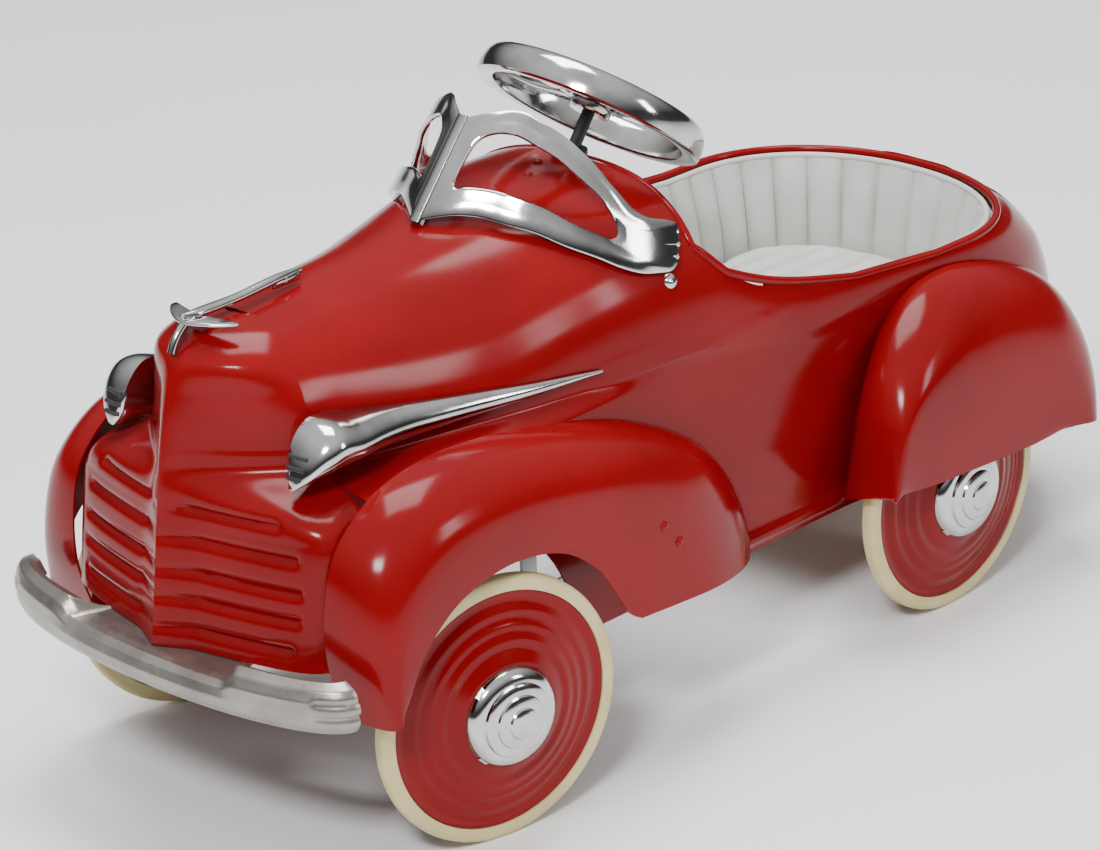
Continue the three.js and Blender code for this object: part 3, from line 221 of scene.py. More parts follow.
# ------------------------------------------------------------ mesh making
def make(name, points, faces, material, sharp=40):
    """A mesh object from points in millimetres, with y as a station."""
    mesh = bpy.data.meshes.new(name)
    metres = [(x / 1000, (y - CENTRE) / 1000, z / 1000) for x, y, z in points]
    mesh.from_pydata(metres, [], faces)
    work = bmesh.new()
    work.from_mesh(mesh)
    bmesh.ops.remove_doubles(work, verts=work.verts, dist=1e-6)
    bmesh.ops.recalc_face_normals(work, faces=work.faces)
    work.to_mesh(mesh)
    work.free()
    piece = bpy.data.objects.new(name, mesh)
    bpy.context.scene.collection.objects.link(piece)
    if material:
        mesh.materials.append(material)
    soften(piece, sharp)
    return piece


def soften(piece, sharp=40):
    """Smooth shading, with edges sharper than the angle kept."""
    piece.data.polygons.foreach_set("use_smooth", [True] * len(piece.data.polygons))
    piece.data.set_sharp_from_angle(angle=math.radians(sharp))


def apply_modifiers(piece):
    graph = bpy.context.evaluated_depsgraph_get()
    mesh = bpy.data.meshes.new_from_object(piece.evaluated_get(graph))
    piece.modifiers.clear()
    old = piece.data
    piece.data = mesh
    bpy.data.meshes.remove(old)


def cut(piece, cutter):
    modifier = piece.modifiers.new("cut", "BOOLEAN")
    modifier.operation = "DIFFERENCE"
    modifier.solver = "EXACT"
    modifier.object = cutter
    apply_modifiers(piece)
    bpy.data.objects.remove(cutter)


def joined(name, pieces, sharp=40):
    """Several mesh objects as one, keeping their materials."""
    materials = []
    work = bmesh.new()
    for piece in pieces:
        offset = []
        for material in piece.data.materials:
            if material not in materials:
                materials.append(material)
            offset.append(materials.index(material))
        start = len(work.faces)
        work.from_mesh(piece.data)
        work.faces.ensure_lookup_table()
        for face in work.faces[start:]:
            face.material_index = offset[face.material_index] if offset else 0
    mesh = bpy.data.meshes.new(name)
    work.to_mesh(mesh)
    work.free()
    for material in materials:
        mesh.materials.append(material)
    for piece in pieces:
        bpy.data.objects.remove(piece)
    whole = bpy.data.objects.new(name, mesh)
    bpy.context.scene.collection.objects.link(whole)
    soften(whole, sharp)
    return whole


def ring_faces(rows, count, closed_rows=False, caps=True):
    """Faces between equal rings of points, listed ring after ring."""
    faces = []
    spans = rows if closed_rows else rows - 1
    for i in range(spans):
        below = i * count
        above = ((i + 1) % rows) * count
        for j in range(count):
            k = (j + 1) % count
            faces.append((below + j, below + k, above + k, above + j))
    if caps and not closed_rows:
        faces.append(tuple(range(count)))
        faces.append(tuple(reversed(range((rows - 1) * count, rows * count))))
    return faces


def loft(name, rings, material, sharp=40, closed=False):
    points = [p for ring in rings for p in ring]
    faces = ring_faces(len(rings), len(rings[0]), closed_rows=closed)
    return make(name, points, faces, material, sharp)


def tube(name, path, radius, material, closed=False, sides=12):
    """A round tube along a list of points."""
    rings = []
    count = len(path)
    path = [Vector(p) for p in path]
    for i, point in enumerate(path):
        if closed:
            along = path[(i + 1) % count] - path[i - 1]
        else:
            along = path[min(i + 1, count - 1)] - path[max(i - 1, 0)]
        along.normalize()
        side = along.cross(Vector((0, 0, 1)))
        side = side.normalized() if side.length > 1e-3 else Vector((1, 0, 0))
        up = side.cross(along)
        rings.append([point + radius * (math.cos(a) * side + math.sin(a) * up)
                      for a in turns(sides)])
    return loft(name, rings, material, 60, closed)


def sheet(name, outer, columns, rows, thickness, material, sharp=40):
    """A pressed sheet: the skin outer(u, v) and the same skin moved inwards."""
    step = 1e-3
    skins = [[], []]
    for i in range(columns + 1):
        for j in range(rows + 1):
            u = clamp(i / columns, step, 1 - step)
            v = clamp(j / rows, step, 1 - step)
            along = outer(u + step, v) - outer(u - step, v)
            across = outer(u, v + step) - outer(u, v - step)
            normal = along.cross(across).normalized()
            point = outer(i / columns, j / rows)
            skins[0].append(point)
            skins[1].append(point - thickness * normal)
    wide = rows + 1
    layer = (columns + 1) * wide
    faces = []
    for i in range(columns):
        for j in range(rows):
            a = i * wide + j
            faces.append((a, a + wide, a + wide + 1, a + 1))
            faces.append((layer + a, layer + a + 1, layer + a + wide + 1, layer + a + wide))
    for i in range(columns):
        low = i * wide
        high = low + rows
        faces.append((low + wide, low, low + layer, low + wide + layer))
        faces.append((high, high + wide, high + wide + layer, high + layer))
    for j in range(rows):
        far = columns * wide + j
        faces.append((j, j + 1, j + 1 + layer, j + layer))
        faces.append((far + 1, far, far + layer, far + 1 + layer))
    return make(name, skins[0] + skins[1], faces, material, sharp)


def finished(piece, body, slot, *nodes):
    """The piece rides on a body and stands for CAD nodes, which it hides; slot is not used."""
    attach(piece, body)
    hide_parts(*nodes)


# ------------------------------------------------------------ body surface
roof_power = through([(-72, 2.4), (-20, 2.1), (60, 1.95), (120, 2.1), (190, 2.4), (272, 2.5)])
roof_height = through([
    (-66, 381), (-20, 384), (50, 388), (104, 394), (150, 401), (190, 405), (260, 404), (283, 399),
    (340, 355), (418, 338), (478, 330), (560, 317), (640, 315)])
shoulder_height = through([(280, 285), (380, 270)])
hood_half = through([
    (-72, 80), (-20, 92), (50, 106), (100, 116), (150, 123), (195, 130), (272, 137.5),
    (340, 141.5), (418, 146), (478, 147.5), (560, 149)])
side_half = through([(150, 131), (250, 134), (350, 141), (450, 146), (560, 149)])
rocker_half = through([(430, 132), (560, 143), (640, 148)])
tail_end = through([(150, 768), (195, 762), (224, 750), (250, 731), (275, 703), (284, 684),
                    (300, 672), (315, 642)])
tail_power = through([(240, 2.4), (284, 2.1)])
seam_station = through([(262, -72), (300, -76), (347, -76), (381, -66)])


def tail_factor(y, z):
    if y <= TAIL_START:
        return 1
    reach = (y - TAIL_START) / (tail_end(z) - TAIL_START)
    power = tail_power(z)
    return max(0, 1 - reach ** power) ** (1 / power)


def body_half(y, z):
    shoulder = shoulder_height(y)
    top = roof_height(y)
    narrow = hood_half(y)
    wide = side_half(y)
    if z >= shoulder:
        rise = min(1, (z - shoulder) / (top - shoulder))
        power = roof_power(y)
        return narrow * max(0, 1 - rise ** power) ** (1 / power) * tail_factor(y, z)
    drop = shoulder - z
    if drop < SHOULDER_DROP:
        return lerp(narrow, wide, smooth(drop, 0, SHOULDER_DROP)) * tail_factor(y, z)
    fall = (drop - SHOULDER_DROP) / (shoulder - SHOULDER_DROP - ROCKER_Z)
    flare = clamp(fall) ** 1.4
    return lerp(wide, rocker_half(y), flare) * tail_factor(y, z)


def pressed(y, z):
    """Relief of the pressed lines: the rocker bead and the double line on the cowl side."""
    bead = 4.5 * bell(z - 111, 5.5) * smooth(y, 286, 300) * (1 - smooth(y, 415, 428))
    fade = smooth(y, 150, 175) * (1 - smooth(y, 330, 352))
    high = lerp(297, 289, clamp((y - 160) / 190))
    low = lerp(285, 284, clamp((y - 160) / 190))
    return bead + fade * (1.4 * bell(z - high, 1.6) + 1.2 * bell(z - low, 1.6))


def top_height(y):
    """Height of the middle line: the roof, then the tail's closing line."""
    if y <= tail_end(TAIL_TOP):
        return roof_height(y)
    low, high = ROCKER_Z, TAIL_TOP
    for _ in range(30):
        middle = (low + high) / 2
        if tail_end(middle) > y:
            low = middle
        else:
            high = middle
    return low


def ring_levels(y, top):
    """Heights of a ring's points, dense at the rocker bead and at the shoulder."""
    shoulder = shoulder_height(y)
    full = max(top, shoulder + 25)
    levels = [ROCKER_Z + 2.5 * k for k in range(11)] + [135 + 12 * k for k in range(11)]
    levels = [z for z in levels if z < shoulder - SHOULDER_DROP - 2]
    while len(levels) < 22:
        levels.append(lerp(levels[-1], shoulder - SHOULDER_DROP, 0.4))
    levels += [shoulder - SHOULDER_DROP + k * 1.5 for k in range(10)]
    steps = 34
    levels += [shoulder + (full - shoulder) * math.sin(k / steps * math.pi / 2)
               for k in range(steps + 1)]
    scale = (top - ROCKER_Z) / (full - ROCKER_Z)
    return [ROCKER_Z + (z - ROCKER_Z) * scale for z in levels]


def body_ring(y, inset, lean):
    """One section of the body, or of its inside when inset."""
    past = inset if y > TAIL_START else 0
    levels = ring_levels(y, top_height(y + past))
    last = len(levels) - 1
    half = []
    for k, z in enumerate(levels):
        shift = lean * (seam_station(z) - BODY_START)
        x = 0 if k == last else body_half(y + past + shift, z)
        if inset == 0 and 0 < k < last:
            x += pressed(y, z)
        half.append((x, z, y + shift))
    left = []
    for k, (x, z, station) in enumerate(half):
        xa, za, _ = half[max(k - 1, 0)]
        xb, zb, _ = half[min(k + 1, last)]
        length = math.hypot(xb - xa, zb - za) or 1
        across = 0 if k == last else (zb - za) / length
        up = 1 if k == last else -(xb - xa) / length
        bottom = ROCKER_Z - 20 if k == 0 and inset > 0 else z - inset * up
        left.append((max(x - inset * across, 0), station, bottom))
    right = [(-x, y0, z) for x, y0, z in reversed(left[:-1])]
    return left + right


def body_rings(inset):
    # The first rings lean with the seam to the nose. The inside cutter starts ahead of it.
    leans = [(-86, 1)] if inset else []
    leans += [(-66, 1), (-55, 0.8), (-45, 0.6), (-35, 0.4), (-22, 0.2)]
    rings = [body_ring(y, inset, lean) for y, lean in leans]
    y = -8
    while y < TAIL_START:
        rings.append(body_ring(y, inset, 0))
        y += 7
    steps = 26
    length = TAIL_LAST - TAIL_START - inset
    for k in range(steps + 1):
        reach = math.sin(k / steps * math.pi / 2 * 0.985)
        rings.append(body_ring(TAIL_START + reach * length, inset, 0))
    return rings


COCKPIT_FRONT = 333
EDGE_INSET = 2.3


def rim_height(y):
    """Height of the cockpit's edge, which falls a little towards the tail."""
    return 300 - min(16, max(0, y - 330) / 12)


def cockpit_inset(y):
    """How far the cockpit's edge stands in from the side: it sweeps down from the cowl."""
    return EDGE_INSET + 4.7 * (1 - smooth(y, COCKPIT_FRONT, 410))


def seat_plan(share, front, inset):
    """Plan of a line inside the sides, from the left front round the tail to the right."""
    side = 1 if share < 0.5 else -1
    along = 1 - abs(1 - 2 * share)
    straight = 0.5
    if along <= straight:
        y = front + (TAIL_START - front) * (along / straight)
        return side * (body_half(y, rim_height(y)) - inset), y
    angle = (along - straight) / (1 - straight) * math.pi / 2
    reach = tail_end(rim_height(TAIL_START)) - TAIL_START - inset
    half = body_half(TAIL_START, rim_height(TAIL_START)) - inset
    return (side * half * max(0, math.cos(angle)) ** 0.95,
            TAIL_START + reach * math.sin(angle) ** 0.95)


def cockpit_edge(share):
    _, y = seat_plan(share, COCKPIT_FRONT, 0)
    return seat_plan(share, COCKPIT_FRONT, cockpit_inset(y))


def quadratic(a, b, c, steps):
    """Points of a curve from a to c that bends towards b."""
    return [((1 - t) ** 2 * a[0] + 2 * t * (1 - t) * b[0] + t * t * c[0],
             (1 - t) ** 2 * a[1] + 2 * t * (1 - t) * b[1] + t * t * c[1])
            for t in (k / steps for k in range(steps + 1))]


def dash_edge():
    """Plan of the cowl's rear edge, left half, from the middle to the cockpit rim."""
    first = quadratic((0, 283), (70, 280), (118, 271), 14)
    second = quadratic((118, 271), (133, 290), (134, 334), 12)
    return first + second[1:]


def height_on_hood(x, y):
    low, high = shoulder_height(y), roof_height(y)
    for _ in range(30):
        middle = (low + high) / 2
        if body_half(y, middle) > x:
            low = middle
        else:
            high = middle
    return low


def prism(name, outline, low, high):
    """An upright block with that plan."""
    points = [(x, y, z) for z in (low, high) for x, y in outline]
    return make(name, points, ring_faces(2, len(outline)), None)


def disc_x(name, radius, x0, x1, y, z, sides=64):
    """A round bar across the car."""
    ring = [(radius * math.cos(a), radius * math.sin(a)) for a in turns(sides)]
    points = [(x, y + a, z + b) for x in (x0, x1) for a, b in ring]
    return make(name, points, ring_faces(2, sides), None)


WELL_RADIUS = 116  # room for the front wheels
NOTCH_RADIUS = 15  # room for the rear axle
CUT_LOW, CUT_HIGH = 240, 500
ROLL_RADIUS = 3.4
ROLL_SINK = 1.5  # the rolled edge's centre lies this far under the hood
ROLL_RISE = 0.5  # and this far over the cockpit's rim
COWL_END = 420


def roll_height(x, y):
    """Height of the rolled edge: on the hood in front, on the cockpit's rim behind."""
    on_rim = rim_height(y) + ROLL_RISE
    return max(height_on_hood(x, y) - ROLL_SINK, on_rim) if y < COWL_END else on_rim


def build_body():
    shell = loft("body_pressing", body_rings(0), RED)
    cut(shell, loft("body_inside", body_rings(SHEET), RED))
    plan = [cockpit_edge(k / 120) for k in range(121)]
    cut(shell, prism("cockpit_cut", plan, CUT_LOW, CUT_HIGH))
    dash = dash_edge()
    dash_plan = dash + [(-x, y) for x, y in reversed(dash[1:])]
    cut(shell, prism("dash_cut", dash_plan, CUT_LOW, CUT_HIGH))
    cut(shell, disc_x("front_well", WELL_RADIUS, -160, 160, FRONT_AXLE_Y, AXLE_Z))
    cut(shell, disc_x("axle_notch", NOTCH_RADIUS, -170, 170, REAR_AXLE_Y, AXLE_Z))
    loop = [(x, y, height_on_hood(x, y) - ROLL_SINK) for x, y in dash]
    side = [cockpit_edge(k / 120) for k in range(1, 61)]
    loop += [(x, y, roll_height(x, y)) for x, y in side]
    # The rolled edge eases from the cowl down onto the cockpit's side.
    for _ in range(60):
        loop = [point if not 300 < point[1] < 430 or k in (0, len(loop) - 1) else
                tuple((a + 2 * b + c) / 4 for a, b, c in zip(loop[k - 1], point, loop[k + 1]))
                for k, point in enumerate(loop)]
    loop += [(-x, y, z) for x, y, z in reversed(loop[1:-1])]
    rim = tube("cockpit_roll", loop, ROLL_RADIUS, RED, closed=True)
    return joined("body_pressing", [shell, rim])


finished(build_body(), "body", "red_enamel", "body_shell")

# ------------------------------------------------------------ nose
NOSE_BOTTOM = 161
NOSE_TOP = 381
GROOVES = ((262, 96), (240, 112), (217, 116), (197, 116), (175, 112))  # height, outer x
GROOVE_DEPTH = 4.2
GROOVE_WIDTH = 3.4
PROW_WIDTH = 13
prow_station = through([
    (161, -167), (198, -161.5), (263, -152.6), (322, -142), (350, -134), (364, -127),
    (374, -112), (380, -92), (381, -76)])
nose_half = through([(248, 131), (264, 122), (280, 92), (290, 82.5), (300, 81)])
nose_power = through([(200, 5), (248, 4), (280, 1.4), (296, 1.15), (340, 1.25), (362, 1.8)])
face_slope = through([(250, 0.2), (300, 0)])
prow_proud = through([(262, 8), (320, 3)])


def nose_skin(u, v):
    z = NOSE_BOTTOM + (NOSE_TOP - NOSE_BOTTOM) * math.sin(clamp(v) * math.pi / 2)
    seam_y = seam_station(z) - SEAM
    seam_x = body_half(seam_y, min(z, 380.5)) if z > 300 else nose_half(z)
    angle = min(abs(1 - 2 * u), 1) * math.pi / 2
    side = 1 if u < 0.5 else -1
    power = 2 / nose_power(z)
    x = seam_x * math.sin(angle) ** power
    reach = max(0, math.cos(angle)) ** power
    prow = min(prow_station(z), seam_y - 6)
    flat = prow + (prow_proud(z) + face_slope(z) * x) * reach
    ridge = prow_proud(z) * bell(x, PROW_WIDTH) * reach
    groove = 0
    for level, end in GROOVES:
        inside = smooth(x, 11, 18) * (1 - smooth(x, end - 8, end))
        groove += GROOVE_DEPTH * bell(z - level, GROOVE_WIDTH) * inside
    return Vector((side * x, seam_y + (flat - seam_y) * reach - ridge + groove, z))


finished(sheet("nose_pressing", nose_skin, 150, 150, SHEET, RED), "body", "red_enamel",
         "nose_grille")

# ------------------------------------------------------------ fenders
FRONT_JOINT = [
    (-108, 124), (-122, 168), (-122, 210), (-110, 248), (-74, 277), (-25, 288), (30, 286),
    (93, 275), (155, 259), (208, 238), (250, 212), (279, 174), (292, 140), (294, 117)]
FRONT_LIP = [(-106, 136), (-98, 150), (-78, 181), (-42, 206), (6.5, 215), (55, 206), (91, 181),
             (112, 152), (124, 134), (136, 126)]
REAR_JOINT = [
    (426, 115), (430, 150), (438, 200), (452, 240), (482, 265), (520, 272), (560, 267),
    (610, 251), (650, 228), (676, 194), (686, 152), (682, 112)]
REAR_LIP = [(403, 137), (448, 130), (494, 127), (529, 125), (575, 123), (612, 125)]
FENDER_JOINT = 131  # the front fenders' joint stays at least this far out
FRONT_FACES = (184, 183)  # x of the face at the shoulder and at the lip
REAR_FACES = (203, 201)
REAR_WALL = 28  # how far the rear fenders' front wall stands forward of its joint
SHOULDER_SHARE = 0.62  # share of the way from joint to lip that the round shoulder takes


def fender_skin(joint, lip, joint_x, faces_x, forward, tight, spread, side):
    """A fender: a round shoulder from the joint, then a face down to the lip."""
    joint_at = curve_through([(0, y, z) for y, z in joint])
    lip_at = curve_through([(0, y, z) for y, z in lip])

    def skin(u, v):
        start = joint_at(u)
        end = lip_at(u)
        turn = min(max(v, 0) / SHOULDER_SHARE, 1) * math.pi / 2
        rest = max(0, (v - SHOULDER_SHARE) / 0.38)
        reach = lerp(tight, spread, smooth(u, 0.15, 0.45))
        across = reach * (1 - math.cos(turn)) + (1 - reach) * rest
        bulge = math.sin(turn)
        face = lerp(*faces_x, rest * rest)
        middle = start.lerp(end, across)
        wall = 1 - smooth(u, 0.16, 0.4)
        shift = forward * wall * (1 - (1 - bulge) ** 6) * (1 - across)
        foot = bulge * (1 - smooth(u, 0, 0.08)) if forward else 0
        x = lerp(joint_x(start.y, start.z), face, bulge)
        z = lerp(middle.z, end.z, foot * (1 - across))
        return Vector((side * x, middle.y - shift, z))

    return skin


def front_joint_x(y, z):
    return max(body_half(y, z), FENDER_JOINT) + SEAM


def rear_joint_x(y, z):
    return body_half(y, z) + SEAM + 3 * (1 - smooth(y, 430, 456))


FENDERS = (("front", FRONT_JOINT, FRONT_LIP, front_joint_x, FRONT_FACES, 0, 0.6, 0.6),
           ("rear", REAR_JOINT, REAR_LIP, rear_joint_x, REAR_FACES, REAR_WALL, 0.25, 0.5))
for name, side in SIDES:
    for end, *shape in FENDERS:
        skin = fender_skin(*shape, side)
        pressing = sheet(f"{end}_fender_pressing_{name}", skin, 110, 30, side * SHEET, RED)
        finished(pressing, "body", "red_enamel", f"{end}_fender_{name}")

# ------------------------------------------------------------ bumper
BUMPER_HALF = 177
BUMPER_END = -138
BUMPER_DEPTH = 48
PAN_REAR = -128
# Sections from the lower lip up: inset, height, share of the way back to the pan's rear edge.
BUMPER_MIDDLE = [(3, 138, 0), (0, 143, 0), (-1.5, 150, 0), (1, 157, 0), (7, 160, 0),
                 (14, 160.5, 0), (14, 160.5, 0.5), (14, 160.5, 1)]
BUMPER_HORN = [(3, 138, 0), (0, 143, 0), (-2, 152, 0), (-1, 162, 0), (4, 169, 0), (12, 173, 0),
               (20, 170, 0), (27, 161, 0)]


def bumper_skin(u, v):
    row = clamp(v) * 7
    index = min(int(row), 6)
    angle = (1 - 2 * u) * math.pi / 2
    out = BUMPER_HALF * abs(math.sin(angle))
    horn = smooth(out, 82, 96)
    inset, z, back = [
        lerp(lerp(BUMPER_MIDDLE[index][k], BUMPER_MIDDLE[index + 1][k], row - index),
             lerp(BUMPER_HORN[index][k], BUMPER_HORN[index + 1][k], row - index), horn)
        for k in range(3)]
    flute = 2.2 * (bell(z - 150, 2.2) + bell(z - 161, 2.2)) * smooth(out, 150, 160)
    inset += flute if row < 4.5 else 0
    x = (BUMPER_HALF - inset) * math.sin(angle)
    y = BUMPER_END + (-BUMPER_DEPTH + inset) * math.cos(angle)
    return Vector((lerp(x, x * 0.8, back), lerp(y, PAN_REAR, back), z))


bumper = sheet("bumper_pressing", bumper_skin, 160, 42, -SHEET, SILVER)
room = prism("nose_room", [(-132, -151), (132, -151), (132, -111), (-132, -111)], 160.7, 200)
cut(bumper, room)
soften(bumper)
finished(bumper, "body", "silver_paint", "front_bumper")

# ------------------------------------------------------------ headlight pods and spears
trim_low = through([(-113, 285.5), (-100, 289), (-70, 291), (0, 292), (80, 293), (162, 294.5)])
trim_high = through([(-113, 291), (-108, 305), (-98, 321), (-84, 329), (-57, 324), (0, 315),
                     (80, 305.5), (162, 297)])
trim_inner = through([(-113, 90), (-106, 84), (-95, 82.5), (-80, 81.5)])
trim_bulge = through([(-60, 34), (-30, 20), (0, 11.5), (80, 5.5), (162, 2.5)])
pod_outer = through([(-113, 97), (-108, 106), (-100, 113), (-88, 118), (-60, 117.5)])
POD_END = 162
SLOT_RADIUS = 1.7
POD_SLOTS = ((87, 103, 308), (87, 103, 300.5), (88, 101, 294))  # inner x, outer x, height


def trim_ring(y, side):
    """One section of the pod and its spear, bulged outside and flat against the body."""
    low = trim_low(y)
    high = trim_high(y)
    middle = (low + high) / 2

    def inner(z):
        near = max(trim_inner(y), nose_half(z) + 2) if y < -75 else body_half(y, z)
        return SEAM + near

    proud = pod_outer(y) - inner(middle) if y < -60 else trim_bulge(y)
    ring = []
    steps = 28
    for k in range(steps + 1):
        angle = k / steps * math.pi
        z = middle - math.cos(angle) * (high - low) / 2
        ring.append((side * (inner(z) + 0.8 + proud * max(0, math.sin(angle)) ** 0.8), y, z))
    for share in (0.75, 0.5, 0.25):
        z = lerp(low, high, share)
        ring.append((side * inner(z), y, z))
    return ring


def build_pod(name, side):
    stations = [-113, -112, -110.5, -108.5, -106, -103, -100, -96, -92, -88, -84, -80, -75.5]
    stations += [-66 + 12 * k for k in range(20)]
    pod = loft(f"pod_{name}", [trim_ring(y, side) for y in stations if y <= POD_END], CHROME, 50)
    # The slots lie on the pod's front face, found by casting rays from ahead of the car.
    surface = BVHTree.FromPolygons([v.co * 1000 for v in pod.data.vertices],
                                   [list(face.vertices) for face in pod.data.polygons])
    slots = []
    for start, end, z in POD_SLOTS:
        path = []
        for k in range(12):
            x = side * lerp(start, end, k / 11)
            hit = surface.ray_cast(Vector((x, -600, z)), Vector((0, 1, 0)))[0]
            if hit is not None:
                path.append((x, hit.y + CENTRE, z))
        slots.append(tube(f"slot_{z}", path, SLOT_RADIUS, SLOT_DARK, sides=10))
    return joined(f"pod_{name}", [pod] + slots, 50)


for name, side in SIDES:
    finished(build_pod(name, side), "body", "chrome", f"headlight_trim_{name}")

# ------------------------------------------------------------ ornament
spear_half = through([(-119, 1), (-105, 4.5), (-70, 4), (-30, 3.5), (-8, 1.5)])
spear_top = through([(-119, 394), (-105, 394.5), (-70, 394.5), (-30, 397.5), (-8, 397)])
spear_low = through([(-119, 390), (-105, 388), (-70, 388), (-30, 390.5), (-8, 391)])


def build_ornament():
    rings = []
    for k in range(38):
        y = -119 + 3 * k
        half = spear_half(y)
        low, high = spear_low(y), spear_top(y)
        middle = (low + high) / 2
        rings.append([(half * math.cos(a), y, middle + (high - low) / 2 * math.sin(a))
                      for a in turns(20)])
    spear = loft("spear", rings, CHROME, 60)
    outline = [(-32, -97), (-31, -103), (-18, -114), (0, -121), (18, -114), (31, -103), (32, -97),
               (16, -101), (0, -104), (-16, -101)]
    at = curve_through([(x, y, 0) for x, y in outline + outline[:1]])
    plan = [at(k / 60) for k in range(60)]
    points = []
    for grow, z in ((0.9, 386.8), (1, 387.6), (1, 388.8), (0.9, 389.6)):
        points += [(p.x * grow, -109 + (p.y + 109) * grow, z) for p in plan]
    wing = make("wing", points, ring_faces(4, 60), CHROME, 60)
    foot = curve_through([(0, -110, 391), (0, -119, 386), (0, -127, 378), (0, -131.5, 369)])
    strut = tube("foot", [foot(k / 14) for k in range(15)], 3.2, CHROME)
    rings = [[(half * math.cos(a), y, 391.5 + 4.4 * math.sin(a)) for a in turns(16)]
             for y, half in ((-35, 1), (-33, 3), (-22, 3.6), (-11, 3), (-9, 1))]
    tail = loft("tail_foot", rings, CHROME, 60)
    return joined("ornament", [spear, wing, strut, tail], 60)


finished(build_ornament(), "body", "chrome", "hood_ornament")

# ------------------------------------------------------------ windshield
screen_foot = curve_through([
    (0, 105, 397.5), (24, 120, 400), (42, 133, 398), (59, 142, 393.5), (74, 153, 388),
    (91, 166, 378), (105.5, 182.5, 368), (115, 196, 359), (122.5, 211, 352), (126, 229, 348),
    (128.5, 241, 345)])
LEAN_Y, LEAN_Z = 0.6414, 0.7674
CENTRE_LEAN = Vector((0, LEAN_Y, LEAN_Z))
SIDE_LEAN = Vector((-0.3, 0.47, 0.83))
# Half of the frame and its opening: share of the way round from the middle, height.
SCREEN_OUTLINE = [
    (0, 0), (0.14, 3), (0.3, 3), (0.45, 3), (0.6, 3), (0.75, 3), (0.88, 3), (0.97, 4), (1, 10),
    (1, 24), (0.985, 40), (0.92, 43), (0.8, 46), (0.74, 51), (0.66, 59), (0.56, 70), (0.45, 77),
    (0.35, 82), (0.24, 86.5), (0.12, 85), (0, 83), (0, 42)]
SCREEN_OPENING = [
    (0.095, 26), (0.15, 25.5), (0.24, 25), (0.35, 24), (0.46, 22.5), (0.56, 21), (0.64, 20),
    (0.7, 20), (0.722, 23), (0.727, 26), (0.72, 30), (0.71, 33), (0.695, 36), (0.67, 40),
    (0.63, 46), (0.53, 54), (0.43, 60), (0.33, 65), (0.24, 68), (0.16, 67), (0.11, 61),
    (0.092, 44)]


def screen_point(u, h, depth, side):
    """A point h up the leaning screen over its foot, and depth off its face."""
    foot = screen_foot(u)
    tangent = (screen_foot(u + 0.01) - screen_foot(u - 0.01)).normalized()
    lean = CENTRE_LEAN.lerp(SIDE_LEAN, clamp(u)).normalized()
    facing = tangent.cross(lean).normalized()
    point = foot + lean * h + facing * depth
    return Vector((side * point.x, point.y, point.z))


def refine(pairs, corners):
    """Closed outline with extra points; listed corners stay sharp."""
    count = len(pairs)
    fine = []
    for k in range(count):
        p0, p1 = pairs[k - 1], pairs[k]
        p2, p3 = pairs[(k + 1) % count], pairs[(k + 2) % count]
        if k in corners:
            p0 = p1
        if (k + 1) % count in corners:
            p3 = p2
        for s in range(5):
            t = s / 5
            fine.append(tuple(0.5 * (2 * b + (c - a) * t + (2 * a - 5 * b + 4 * c - d) * t * t
                              + (3 * b - a - 3 * c + d) * t ** 3)
                        for a, b, c, d in zip(p0, p1, p2, p3)))
    return fine


# Share of the way from the opening to the outline, depth.
FRAME_SECTION = [
    (0, 0.6), (0.02, -0.8), (0.07, -1.4), (0.14, -1.0), (0.3, 0), (0.6, 0), (0.93, 0), (1, 0.8),
    (1, 2.2), (0.93, 3), (0.5, 3), (0.14, 3.2), (0.05, 3.4), (0, 2.4)]
FLUTES = (15, 24, 33)


def build_pane(side):
    outline = refine(SCREEN_OUTLINE, (0, 20, 21, 8, 10))
    opening = refine(SCREEN_OPENING, ())
    points = []
    for share, depth in FRAME_SECTION:
        for (u, h), (open_u, open_h) in zip(outline, opening):
            flutes = 0
            along = lerp(open_u, u, share)
            if along > 0.8 and depth < 1:
                high = lerp(open_h, h, share)
                flutes = 3.2 * sum(bell(high - level, 2.4) for level in FLUTES)
                flutes *= smooth(along, 0.8, 0.86)
            points.append(screen_point(along, lerp(open_h, h, share), depth + flutes, side))
    faces = ring_faces(len(FRAME_SECTION), len(outline), closed_rows=True)
    return make("pane", points, faces, CHROME, 50)


POST_SECTION = ((-4, -2.5), (4, -2.5), (5.2, -1.2), (5.5, 3.5), (-5.5, 3.5), (-5.2, -1.2))


def build_post():
    rings = []
    for h in (0, 20, 43, 66, 84, 86):
        ring = []
        for x, depth in POST_SECTION:
            point = screen_point(0, h, 0, 1)
            ring.append((x, point.y + depth * LEAN_Z, point.z - depth * LEAN_Y))
        rings.append(ring)
    return loft("post", rings, CHROME, 30)


windshield = joined("windshield", [build_pane(1), build_pane(-1), build_post()], 50)
finished(windshield, "body", "chrome", "windshield_frame")

# ------------------------------------------------------------ turned pieces
def turned(name, profile, segments, material, matrix, sharp=35):
    """(radius, height) points about local Z, moved by matrix, closed when the ends differ."""
    points = [matrix @ Vector((radius * math.cos(a), radius * math.sin(a), height))
              for radius, height in profile for a in turns(segments)]
    closed = profile[0][0] > 0
    faces = ring_faces(len(profile), segments, closed_rows=closed, caps=False)
    return make(name, points, faces, material, sharp)


def outward(side, y=0.0):
    """Local Z becomes the outward axle direction of that side."""
    return Matrix(((0, 0, side, 0), (side, 0, 0, y), (0, 1, 0, AXLE_Z), (0, 0, 0, 1)))


